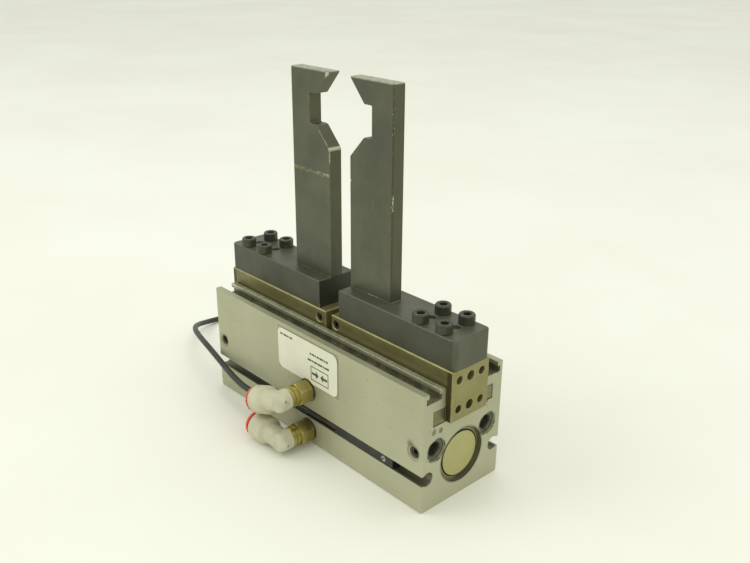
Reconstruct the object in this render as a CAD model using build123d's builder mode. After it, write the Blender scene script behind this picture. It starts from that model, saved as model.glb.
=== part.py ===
from build123d import *
import os
from math import acos, cos, degrees, pi, radians, sin, tan

# Long-stroke parallel pneumatic gripper, in millimetres.
# +X runs along the jaw travel, -Y is the face with the air ports and the label, +Z is up.
# The origin is the centre of the body's bottom face.

# ---- body ----
body_length = 178.0
body_width = 57.2
body_height = 66.7
half_length = body_length / 2
half_width = body_width / 2
corner_radius = 1.2

# jaw guide channel
channel_half_width = 13.6
channel_chamfer = 0.9
wing_pocket_half_width = 21.4
wing_pocket_bottom = 47.7
wing_pocket_top = 55.4
rack_channel_half_width = 13.0
rack_channel_bottom = 41.8
rack_channel_end = 86.5
rack_channel_corner = 2.5

# T-slots along the top, one each side of the channel
tee_mouth_inner = 17.5
tee_mouth_outer = 25.0
tee_inner = 16.0
tee_outer = 26.7
tee_lip = 2.4
tee_floor = 61.1

# keyhole sensor slots along both long faces
sensor_slot_z = 18.8
sensor_slot_mouth = 5.8
sensor_slot_radius = 3.9
sensor_slot_y = 24.6

# cylinder bore and what closes it
bore_z = 22.9
bore_radius = 14.3
ring_groove_radius = 15.3
ring_groove_inner = 86.1
ring_groove_outer = 87.4
mouth_radius = 15.0
cap_inner = 78.6
cap_radius = 14.25
cap_boss_radius = 12.6
cap_boss_face = 87.6
cap_groove = (81.0, 83.4, 12.2)
o_ring_radius = 1.0
ring_gap = 0.25
ring_fit = 0.05
bumper_radius = 10.0
bumper_thickness = 2.0

# tapped inserts in the end faces, and tapped holes in the long faces
mid_height = body_height / 2
insert_y = 19.0
insert_radius = 6.15
insert_thread_radius = 3.4
insert_length = 8.8
insert_body_radius = 4.3
insert_flange = 2.0
insert_recess = 1.2
side_hole_x = 83.2
side_hole_radius = 2.5
side_hole_depth = 5.2
side_hole_chamfer = 0.7
side_spot_radius = 4.6
side_spot_depth = 0.3
side_screw_sunk = 1.2
side_screw_length = 3.9
hex_key_half = 1.25
hex_key_depth = 1.8
insert_chamfer = 0.9

# drilled air passages, closed by plugs in the +X end face
passage_radius = 1.0
passage_spots = ((-21.0, 44.2), (-16.2, 43.8))
passage_plug_radius = 1.5
passage_plug_length = 3.0
passage_plug_sunk = 0.2
chamber_drill_x = 77.4

# ---- air ports and swivel elbows ----
port_heights = {"upper": 33.3, "lower": 8.3}
elbow_droop = {"upper": 20.5, "lower": -1.0}
port_thread_radius = 4.8
port_thread_depth = 8.6
port_bore_radius = 2.4
hex_flats = 12.0
hex_start = 29.3
washer_bore_radius = 5.15
washer_outer_radius = 6.6
label_clearance = 0.2
hex_end = 37.7
stem_collar_start = 39.0
stem_collar_radius = 5.8
stem_neck_radius = 5.1
stem_line = (40.6, 40.8, 41.3, 41.5)
stem_line_depth = 0.5
stem_end_gap = 0.3
elbow_start = 43.3
stub_radius = 4.07
stub_end = 46.4
stub_groove = (44.2, 45.5, 3.1)
stem_seal_radius = 0.5
elbow_axis_y = 47.1
elbow_end = 52.4
elbow_boss_radius = 5.95
elbow_boss_fillet = 3.4
elbow_cavity_radius = 4.15
elbow_cavity_end = 50.4
neck_radius = 5.9
neck_end = 10.6
collar_radius = 7.95
collar_start = 12.4
collar_end = 22.6
collar_chamfer = 0.5
collar_step = 0.4
stem_clearance_radius = 6.15
waterway_radius = 3.0
tube_stop = 9.0
tube_socket_radius = 4.05
seal_chamber_start = 13.4
seal_chamber_radius = 5.6
tube_seal_start = 13.5
tube_seal_end = 15.3
grip_ring_outline = ((4.2, 15.9), (5.5, 15.4), (5.5, 15.9), (4.2, 16.3))
hub_chamber_start = 20.0
hub_chamber_radius = 6.7
release_bore_radius = 4.12
release_sleeve_radius = 5.3
release_sleeve_start = 17.4
release_hub_radius = 6.4
release_hub_start = 21.2
release_flange_radius = 7.6
release_flange_start = 23.7
release_end = 25.2
release_chamfer = 0.4

# ---- jaws ----
jaw_half_width = 13.3
jaw_bottom = 47.9
jaw_top = 75.4
jaw_inner = 2.4
jaw_outer = 92.7
wing_half_width = 21.2
wing_top = 55.2
wing_outer = 88.9
jaw_pattern = 16.0
jaw_pattern_z = 61.7
jaw_tap_radius = 2.1
jaw_tap_depth = 8.0
jaw_dowel_radius = 2.5
jaw_edge_chamfer = 0.5
jaw_hole_chamfer = 0.35
jaw_set_screw_x = {-1: 6.2, 1: 8.2}
jaw_set_screw_chamfer = 0.5
jaw_set_screw_z = 70.2
set_screw_radius = 2.5
set_screw_pocket = 6.0
set_screw_sunk = 0.8
set_screw_length = 4.4

# ---- fingers ----
finger_inner = 8.2
finger_outer = 92.8
block_half_width = 12.7
block_top = 91.4
block_corner = 2.6
block_edge = 0.5
blade_edge = 0.7
blade_half_thickness = 3.95
blade_outer = 39.8
blade_top = 203.0
notch_wall = 24.4
notch_top = 190.7
notch_bottom = 174.4
notch_shoulder = 18.9
chamfer_bottom = 163.0
# corner and radius of each rounding in the blade's outline, as ((x, z), radius)
blade_corners = (((notch_shoulder, notch_bottom), 3.0), ((notch_shoulder, notch_top), 1.2),
                 ((notch_wall, notch_top), 0.8), ((notch_wall, notch_bottom), 0.8),
                 ((blade_outer, blade_top), 0.8))
screw_pattern_x = 73.2
screw_radius = 2.5
screw_head_radius = 4.25
screw_head_height = 5.0
screw_head_chamfer = 0.5
screw_socket_flats = 4.0
screw_socket_depth = 2.6
screw_end = 64.5
screw_clearance_radius = 2.75
finger_dowel_top = 90.2
finger_dowel_end = 66.0
finger_dowel_chamfer = 0.4

# ---- rack and pinion that keeps the jaws together ----
stroke = 40.0
module = 1.0
pinion_teeth = 12
pressure_angle = 25.0
addendum = 0.9
dedendum = 1.1
backlash = 0.10
tooth_overlap = 0.4
pitch_radius = module * pinion_teeth / 2
tooth_pitch = pi * module
pinion_bottom = 42.4
pinion_top = 46.6
bush_radius = 3.4
axle_radius = 2.5
bush_bore_radius = 2.55
axle_bottom = 38.4
axle_top = 47.5
axle_groove = (46.75, 47.25, 2.0)
clip_radius = 4.2
clip_gap = 3.2
washer_top = 42.3
washer_radius = 4.6
rack_bottom = 42.1
rack_top = 47.4
rack_back = 12.6
rack_tail = 44.0
rack_teeth_right = 2
rack_teeth_left = 14
rack_pad_inner = 8.0
rack_pad_outer = 44.0
rack_pad_far_y = -4.4
rack_screw_spots = ((15.0, 4.1), (37.0, 4.1))
rack_screw_radius = 2.0
rack_screw_head_radius = 3.5
rack_screw_head_height = 2.2
rack_screw_top = 55.0
rack_screw_sunk = 0.2
rack_screw_key_depth = 1.2

# ---- piston ----
piston_length = 112.0
piston_centre = -stroke / 2
piston_radius = 14.0
piston_waist_radius = 11.0
piston_head_length = 16.0
piston_cone = 1.5
seal_groove = (3.6, 6.4, 11.6)
wear_groove = (8.6, 13.0, 12.8)
magnet_groove = (17.5, 22.5, 9.0)
magnet_radius = 11.0
drive_pin_y = 9.85
drive_pin_radius = 2.0
drive_pin_bottom = 19.0
drive_pin_top = 46.9
drive_slot_half_width = 2.45

# ---- label ----
label_length = 52.0
label_height = 25.2
label_z = 51.2
label_radius = 4.0
label_thickness = 0.4

# ---- position sensor, its cable and plug ----
sensor_start = 22.8
sensor_end = 68.0
sensor_gap = 0.2
sensor_face = 28.3
sensor_screw_x = 61.2
sensor_screw_radius = 1.6
sensor_screw_depth = 3.4
sensor_screw_slot = 0.5
sensor_screw_slot_depth = 0.8
sensor_screw_turned = 35
cable_radius = 1.8
cable_route = (
    (22.8, -26.4, 18.8), (6.6, -26.4, 18.8), (-12.0, -28.0, 18.4), (-28.0, -33.4, 17.9),
    (-44.6, -38.6, 17.6), (-63.5, -36.6, 18.6), (-80.5, -33.2, 19.8), (-98.0, -30.2, 21.8),
    (-120.0, -24.6, 20.8), (-138.5, -17.4, 17.0), (-153.0, -8.4, 12.2), (-164.5, 2.4, 6.4),
    (-171.0, 15.0, 2.6), (-170.0, 30.0, 1.9), (-159.0, 42.0, 1.9), (-142.0, 49.0, 1.9),
    (-124.0, 51.4, 2.7), (-109.0, 51.8, 5.0), (-98.0, 51.8, 5.0),
)
corner_share = 0.45
plug_start = -98.0
plug_y = 51.8
plug_z = 5.0
plug_boot_radius = 2.7
plug_boot_flare = 0.5
plug_shoulder = 2.0
plug_body_radius = 4.4
plug_boot_length = 9.0
plug_nut_radius = 5.0
plug_nut_start = 15.0
plug_nut_length = 12.0
plug_nut_bore = 3.6
plug_core_length = 4.0
plug_pin_radius = 0.5
plug_pin_circle = 1.5
plug_pin_length = 5.0
plug_nut_chamfer = 0.6

os.makedirs("parts", exist_ok=True)


def write(builder, name):
    """Label a finished piece and write it to its own STEP file."""
    builder.part.label = name
    export_step(builder.part, f"parts/{name}.step")


def turned(points, axis_plane, mode=Mode.ADD):
    """Revolve an outline of (radius, distance) points about the plane's y direction."""
    with BuildSketch(axis_plane) as outline:
        with BuildLine():
            Polyline(points, close=True)
        make_face()
    revolve(outline.sketch, axis=Axis(axis_plane.origin, axis_plane.y_dir), mode=mode)


def ring_points(inner, outer, start, end):
    """Outline of a plain ring, for turned()."""
    return ((inner, start), (outer, start), (outer, end), (inner, end))


def pressed(face, spots, profile, depth, mode=Mode.SUBTRACT):
    """Sink the same small profile into a face, or raise it, at each spot."""
    with BuildSketch(face) as outline:
        with Locations(*spots):
            profile()
    extrude(outline.sketch, amount=-depth, mode=mode)


bore_plane = Plane(origin=(0, 0, bore_z), x_dir=(0, 0, 1), z_dir=(0, 1, 0))


def bore_turned(points, mode=Mode.ADD):
    """Turn an outline of (radius, x) points about the cylinder's axis."""
    turned(points, bore_plane, mode)


# ================= body =================
with BuildPart() as body:
    with BuildSketch(Plane.YZ) as body_profile:
        Rectangle(body_width, body_height, align=(Align.CENTER, Align.MIN))
        fillet(body_profile.vertices().group_by(Axis.Y)[0], corner_radius)
        with Locations((0, wing_pocket_bottom)):
            Rectangle(2 * wing_pocket_half_width, wing_pocket_top - wing_pocket_bottom,
                      align=(Align.CENTER, Align.MIN), mode=Mode.SUBTRACT)
            Rectangle(2 * channel_half_width, body_height, align=(Align.CENTER, Align.MIN),
                      mode=Mode.SUBTRACT)
        for side in (-1, 1):
            with BuildLine():
                Polyline(
                    (side * tee_mouth_inner, body_height + 1), (side * tee_mouth_outer, body_height + 1),
                    (side * tee_mouth_outer, body_height - tee_lip),
                    (side * tee_outer, body_height - tee_lip), (side * tee_outer, tee_floor),
                    (side * tee_inner, tee_floor), (side * tee_inner, body_height - tee_lip),
                    (side * tee_mouth_inner, body_height - tee_lip), close=True)
            make_face(mode=Mode.SUBTRACT)
            with BuildLine():
                Polyline(
                    (side * channel_half_width, body_height - channel_chamfer),
                    (side * (channel_half_width + channel_chamfer), body_height),
                    (side * channel_half_width, body_height), close=True)
            make_face(mode=Mode.SUBTRACT)
            with Locations((side * sensor_slot_y, sensor_slot_z)):
                Circle(sensor_slot_radius, mode=Mode.SUBTRACT)
            with Locations((side * (sensor_slot_y + half_width) / 2, sensor_slot_z)):
                Rectangle(half_width - sensor_slot_y + 1, sensor_slot_mouth, mode=Mode.SUBTRACT)
    extrude(amount=half_length, both=True)
    # pocket under the jaws for the racks and the pinion
    with BuildSketch(Plane.XY.offset(rack_channel_bottom)):
        RectangleRounded(2 * rack_channel_end, 2 * rack_channel_half_width, rack_channel_corner)
    extrude(amount=wing_pocket_bottom - rack_channel_bottom + 1, mode=Mode.SUBTRACT)
    # cylinder bore with a retaining-ring groove at each mouth
    bore_turned(((0, -half_length), (mouth_radius, -half_length), (mouth_radius, -ring_groove_outer),
                 (ring_groove_radius, -ring_groove_outer), (ring_groove_radius, -ring_groove_inner),
                 (bore_radius, -ring_groove_inner), (bore_radius, ring_groove_inner),
                 (ring_groove_radius, ring_groove_inner), (ring_groove_radius, ring_groove_outer),
                 (mouth_radius, ring_groove_outer), (mouth_radius, half_length), (0, half_length)),
                Mode.SUBTRACT)
    # slot that lets the drive pin out of the cylinder, and the pinion axle's hole
    with BuildSketch(Plane.XY.offset(bore_z)):
        with Locations((0, drive_pin_y)):
            SlotCenterToCenter(stroke, 2 * drive_slot_half_width)
    extrude(amount=rack_channel_bottom - bore_z + 1, mode=Mode.SUBTRACT)
    with BuildSketch(Plane.XY.offset(axle_bottom)):
        Circle(axle_radius)
    extrude(amount=rack_channel_bottom - axle_bottom + 1, mode=Mode.SUBTRACT)
    # pockets for the threaded inserts in both end faces
    for end in (-1, 1):
        for radius, depth in ((insert_radius, insert_recess + insert_flange),
                              (insert_body_radius, insert_recess + insert_length)):
            with BuildSketch(Plane.YZ.offset(end * half_length)):
                with Locations((-insert_y, mid_height), (insert_y, mid_height)):
                    Circle(radius)
            extrude(amount=-end * depth, mode=Mode.SUBTRACT)
    # tapped holes in the long faces
    for side in (-1, 1):
        side_face = Plane(origin=(0, side * half_width, 0), x_dir=(1, 0, 0), z_dir=(0, side, 0))
        hole_height = -side * mid_height
        with BuildSketch(side_face):
            with Locations((-side_hole_x, hole_height), (side_hole_x, hole_height)):
                Circle(side_hole_radius)
        extrude(amount=-side_hole_depth, mode=Mode.SUBTRACT)
        with BuildSketch(side_face):
            with Locations((-side_hole_x, hole_height), (side_hole_x, hole_height)):
                Circle(side_spot_radius)
        extrude(amount=-side_spot_depth, mode=Mode.SUBTRACT)
        with BuildSketch(side_face.offset(-side_spot_depth)):
            with Locations((-side_hole_x, hole_height), (side_hole_x, hole_height)):
                Circle(side_hole_radius + side_hole_chamfer)
        extrude(amount=-side_hole_chamfer, taper=45, mode=Mode.SUBTRACT)
    # threaded air ports
    front_face = Plane(origin=(0, -half_width, 0), x_dir=(1, 0, 0), z_dir=(0, -1, 0))
    with BuildSketch(front_face):
        with Locations(*[(0, height) for height in port_heights.values()]):
            Circle(port_thread_radius)
    extrude(amount=-port_thread_depth, mode=Mode.SUBTRACT)
    # drilled air passages: along the body, down to each port, and into each end of the cylinder
    for (y, z), port, end in zip(passage_spots, ("upper", "lower"), (1, -1)):
        with BuildSketch(Plane.YZ.offset(half_length)):
            with Locations((y, z)):
                Circle(passage_radius)
        extrude(amount=-(half_length - min(0, end * chamber_drill_x)), mode=Mode.SUBTRACT)
        with BuildSketch(Plane.YZ.offset(half_length)):
            with Locations((y, z)):
                Circle(passage_plug_radius)
        extrude(amount=-passage_plug_length, mode=Mode.SUBTRACT)
        with BuildSketch(Plane.XY.offset(z)):
            with Locations((0, y)):
                Circle(passage_radius)
        extrude(amount=-(z - port_heights[port]), mode=Mode.SUBTRACT)
        towards_bore = Plane(origin=(end * chamber_drill_x, y, z), z_dir=(0, -y, bore_z - z))
        with BuildSketch(towards_bore):
            Circle(passage_radius)
        extrude(amount=((y ** 2 + (z - bore_z) ** 2) ** 0.5) - bore_radius + 1, mode=Mode.SUBTRACT)
    low_port = port_heights["lower"]
    with BuildSketch(Plane(origin=(0, -half_width + port_thread_depth, low_port), z_dir=(0, 1, 0))):
        Circle(passage_radius)
    extrude(amount=half_width - port_thread_depth + passage_spots[1][0], mode=Mode.SUBTRACT)
write(body, "body")

# ================= cylinder ends =================
with BuildPart() as end_caps:
    for end in (-1, 1):
        bore_turned([(r, end * x) for r, x in (
            (0, cap_inner), (cap_radius, cap_inner), (cap_radius, cap_groove[0]),
            (cap_groove[2], cap_groove[0]), (cap_groove[2], cap_groove[1]), (cap_radius, cap_groove[1]),
            (cap_radius, ring_groove_inner), (cap_boss_radius, ring_groove_inner),
            (cap_boss_radius, cap_boss_face), (0, cap_boss_face))])
write(end_caps, "end_caps")

with BuildPart() as end_cap_seals:
    for end in (-1, 1):
        with BuildSketch(bore_plane):
            with Locations((bore_radius - o_ring_radius, end * (cap_groove[0] + cap_groove[1]) / 2)):
                Circle(o_ring_radius)
        revolve(axis=Axis((0, 0, bore_z), (1, 0, 0)))
write(end_cap_seals, "end_cap_seals")

with BuildPart() as retaining_rings:
    for end in (-1, 1):
        bore_turned(ring_points(cap_boss_radius + ring_gap, ring_groove_radius - ring_fit,
                                end * ring_groove_inner, end * ring_groove_outer))
write(retaining_rings, "retaining_rings")

with BuildPart() as piston_bumpers:
    for end in (-1, 1):
        bore_turned(ring_points(0, bumper_radius, end * (cap_inner - bumper_thickness), end * cap_inner))
write(piston_bumpers, "piston_bumpers")

with BuildPart() as end_inserts:
    for end in (-1, 1):
        for radius, depth in ((insert_radius, insert_flange), (insert_body_radius, insert_length)):
            with BuildSketch(Plane.YZ.offset(end * (half_length - insert_recess))):
                with Locations((-insert_y, mid_height), (insert_y, mid_height)):
                    Circle(radius)
            extrude(amount=-end * depth)
        with BuildSketch(Plane.YZ.offset(end * (half_length - insert_recess))):
            with Locations((-insert_y, mid_height), (insert_y, mid_height)):
                Circle(insert_thread_radius)
        extrude(amount=-end * insert_length, mode=Mode.SUBTRACT)
    mouths = end_inserts.edges().filter_by(GeomType.CIRCLE).filter_by(
        lambda edge: abs(edge.radius - insert_thread_radius) < 0.01
        and abs(edge.center().X) > half_length - insert_recess - 0.1)
    chamfer(mouths, insert_chamfer)
write(end_inserts, "end_inserts")

with BuildPart() as passage_plugs:
    with BuildSketch(Plane.YZ.offset(half_length - passage_plug_sunk)):
        with Locations(*passage_spots):
            Circle(passage_plug_radius)
    extrude(amount=-(passage_plug_length - passage_plug_sunk))
write(passage_plugs, "passage_plugs")


def set_screw(face, spots, length):
    """Socket set screws lying in a face, pointing into it."""
    pressed(face, spots, lambda: Circle(set_screw_radius), length, Mode.ADD)
    pressed(face, spots, lambda: RegularPolygon(hex_key_half, 6, major_radius=False), hex_key_depth)


with BuildPart() as side_set_screw:
    set_screw(Plane(origin=(0, side_screw_sunk - half_width, 0), x_dir=(1, 0, 0), z_dir=(0, -1, 0)),
              ((side_hole_x, mid_height),), side_screw_length)
write(side_set_screw, "side_set_screw")

with BuildPart() as label_plate:
    with BuildSketch(front_face):
        with Locations((0, label_z)):
            RectangleRounded(label_length, label_height, label_radius)
        with Locations((0, port_heights["upper"])):
            Circle(washer_outer_radius + label_clearance, mode=Mode.SUBTRACT)
    extrude(amount=label_thickness)
write(label_plate, "label_plate")

with BuildPart() as port_washers:
    with BuildSketch(front_face):
        with Locations(*[(0, height) for height in port_heights.values()]):
            Circle(washer_outer_radius)
            Circle(washer_bore_radius, mode=Mode.SUBTRACT)
    extrude(amount=hex_start - half_width)
write(port_washers, "port_washers")

# ================= pinion on its axle =================
with BuildPart() as pinion_axle:
    turned(((0, axle_bottom), (axle_radius, axle_bottom), (axle_radius, axle_groove[0]),
            (axle_groove[2], axle_groove[0]), (axle_groove[2], axle_groove[1]),
            (axle_radius, axle_groove[1]), (axle_radius, axle_top), (0, axle_top)), Plane.XZ)
write(pinion_axle, "pinion_axle")

with BuildPart() as pinion_clip:
    with BuildSketch(Plane.XY.offset(axle_groove[0])):
        Circle(clip_radius)
        Circle(axle_groove[2], mode=Mode.SUBTRACT)
        with Locations((0, -clip_radius)):
            Rectangle(clip_gap, 2 * clip_radius, mode=Mode.SUBTRACT)
    extrude(amount=axle_groove[1] - axle_groove[0])
write(pinion_clip, "pinion_clip")

with BuildPart() as thrust_washer:
    turned(ring_points(axle_radius, washer_radius, rack_channel_bottom, washer_top), Plane.XZ)
write(thrust_washer, "thrust_washer")

with BuildPart() as pinion_bush:
    turned(ring_points(bush_bore_radius, bush_radius, pinion_bottom, pinion_top), Plane.XZ)
write(pinion_bush, "pinion_bush")

base_radius = pitch_radius * cos(radians(pressure_angle))
tip_radius = pitch_radius + addendum
root_radius = pitch_radius - dedendum
tooth_thickness = tooth_pitch / 2 - backlash


def involute(angle):
    """Involute function of a pressure angle in radians."""
    return tan(angle) - angle


def half_tooth_angle(radius):
    """Angle from a tooth's centre line to its flank, at a radius."""
    at_pitch = tooth_thickness / (2 * pitch_radius) + involute(radians(pressure_angle))
    return at_pitch - involute(acos(min(1.0, base_radius / radius)))


def flank_point(radius, side):
    angle = pi / 2 + side * half_tooth_angle(radius)
    return (radius * cos(angle), radius * sin(angle))


flank_radii = [base_radius + (tip_radius - base_radius) * step / 4 for step in range(5)]
with BuildPart() as pinion:
    with BuildSketch(Plane.XY.offset(pinion_bottom)):
        Circle(root_radius)
        with BuildSketch(mode=Mode.PRIVATE) as tooth:
            with BuildLine():
                left = Spline([flank_point(radius, 1) for radius in flank_radii])
                right = Spline([flank_point(radius, -1) for radius in flank_radii])
                Line(left @ 1, right @ 1)
                foot = root_radius - tooth_overlap
                Polyline(left @ 0, (foot * cos(pi / 2 + half_tooth_angle(base_radius)), foot),
                         (foot * cos(pi / 2 - half_tooth_angle(base_radius)), foot), right @ 0)
            make_face()
        with PolarLocations(0, pinion_teeth):
            add(tooth.sketch)
        Circle(bush_radius, mode=Mode.SUBTRACT)
    extrude(amount=pinion_top - pinion_bottom)
write(pinion, "pinion")

# ================= port stems and elbows =================
stem_shoulder = elbow_start - stem_end_gap
for name, height in port_heights.items():
    port_plane = Plane(origin=(0, 0, height), x_dir=(1, 0, 0), z_dir=(0, 0, -1))
    with BuildPart() as stem:
        turned(((0, half_width - port_thread_depth), (port_thread_radius, half_width - port_thread_depth),
                (port_thread_radius, half_width), (stem_neck_radius, half_width),
                (stem_neck_radius, stem_collar_start), (stem_collar_radius, stem_collar_start),
                (stem_collar_radius, stem_line[0]), (stem_collar_radius - stem_line_depth, stem_line[1]),
                (stem_collar_radius - stem_line_depth, stem_line[2]), (stem_collar_radius, stem_line[3]),
                (stem_collar_radius, stem_shoulder), (stub_radius, stem_shoulder),
                (stub_radius, stub_groove[0]), (stub_groove[2], stub_groove[0]),
                (stub_groove[2], stub_groove[1]), (stub_radius, stub_groove[1]),
                (stub_radius, stub_end), (0, stub_end)), port_plane)
        with BuildSketch(Plane(origin=(0, -hex_start, height), x_dir=(1, 0, 0), z_dir=(0, -1, 0))):
            RegularPolygon(hex_flats / 2, 6, major_radius=False, rotation=30)
        extrude(amount=hex_end - hex_start)
        with BuildSketch(Plane(origin=(0, -stub_end - 1, height), x_dir=(1, 0, 0), z_dir=(0, -1, 0))):
            Circle(port_bore_radius)
        extrude(amount=-stub_end, mode=Mode.SUBTRACT)
    write(stem, f"{name}_port_stem")

    with BuildPart() as stem_seal:
        with BuildSketch(port_plane):
            with Locations((elbow_cavity_radius - ring_fit - stem_seal_radius, sum(stub_groove[:2]) / 2)):
                Circle(stem_seal_radius)
        revolve(axis=Axis(port_plane.origin, port_plane.y_dir))
    write(stem_seal, f"{name}_stem_seal")

    droop = radians(elbow_droop[name])
    tube_plane = Plane(origin=(0, -elbow_axis_y, height), x_dir=(0, 1, 0),
                       z_dir=(-sin(droop), 0, cos(droop)))
    facing_out = Plane(origin=(0, 0, height), x_dir=(1, 0, 0), z_dir=(0, -1, 0))
    with BuildPart() as elbow:
        with BuildSketch(facing_out.offset(elbow_start)):
            Circle(elbow_boss_radius)
        extrude(amount=elbow_end - elbow_start)
        fillet(elbow.edges().sort_by(Axis.Y)[0], elbow_boss_fillet)
        turned(((0, 0), (neck_radius, 0), (neck_radius, neck_end),
                (collar_radius - collar_chamfer, collar_start - collar_step),
                (collar_radius, collar_start), (collar_radius, collar_end - collar_chamfer),
                (collar_radius - collar_chamfer, collar_end), (0, collar_end)), tube_plane)
        with BuildSketch(facing_out.offset(elbow_start)):
            Circle(stem_clearance_radius)
        extrude(amount=-elbow_start / 2, mode=Mode.SUBTRACT)
        with BuildSketch(facing_out.offset(elbow_start)):
            Circle(elbow_cavity_radius)
        extrude(amount=elbow_cavity_end - elbow_start, mode=Mode.SUBTRACT)
        with BuildSketch(tube_plane):
            with BuildLine():
                Polyline((0, 0), (waterway_radius, 0), (waterway_radius, tube_stop),
                         (tube_socket_radius, tube_stop), (tube_socket_radius, seal_chamber_start),
                         (seal_chamber_radius, seal_chamber_start), (seal_chamber_radius, hub_chamber_start),
                         (hub_chamber_radius, hub_chamber_start), (hub_chamber_radius, collar_end + 1),
                         (0, collar_end + 1), close=True)
            make_face()
        revolve(axis=Axis(tube_plane.origin, tube_plane.y_dir), mode=Mode.SUBTRACT)
    write(elbow, f"{name}_elbow")

    with BuildPart() as tube_seal:
        turned(ring_points(tube_socket_radius + ring_fit, seal_chamber_radius - ring_fit,
                           tube_seal_start, tube_seal_end), tube_plane)
    write(tube_seal, f"{name}_tube_seal")

    with BuildPart() as grip_ring:
        turned(grip_ring_outline, tube_plane)
    write(grip_ring, f"{name}_grip_ring")

    with BuildPart() as release_ring:
        turned(((release_bore_radius, release_sleeve_start), (release_sleeve_radius, release_sleeve_start),
                (release_sleeve_radius, release_hub_start), (release_hub_radius, release_hub_start),
                (release_hub_radius, release_flange_start), (release_flange_radius, release_flange_start),
                (release_flange_radius, release_end - release_chamfer),
                (release_flange_radius - release_chamfer, release_end),
                (release_bore_radius, release_end)), tube_plane)
    write(release_ring, f"{name}_release_ring")

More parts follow.
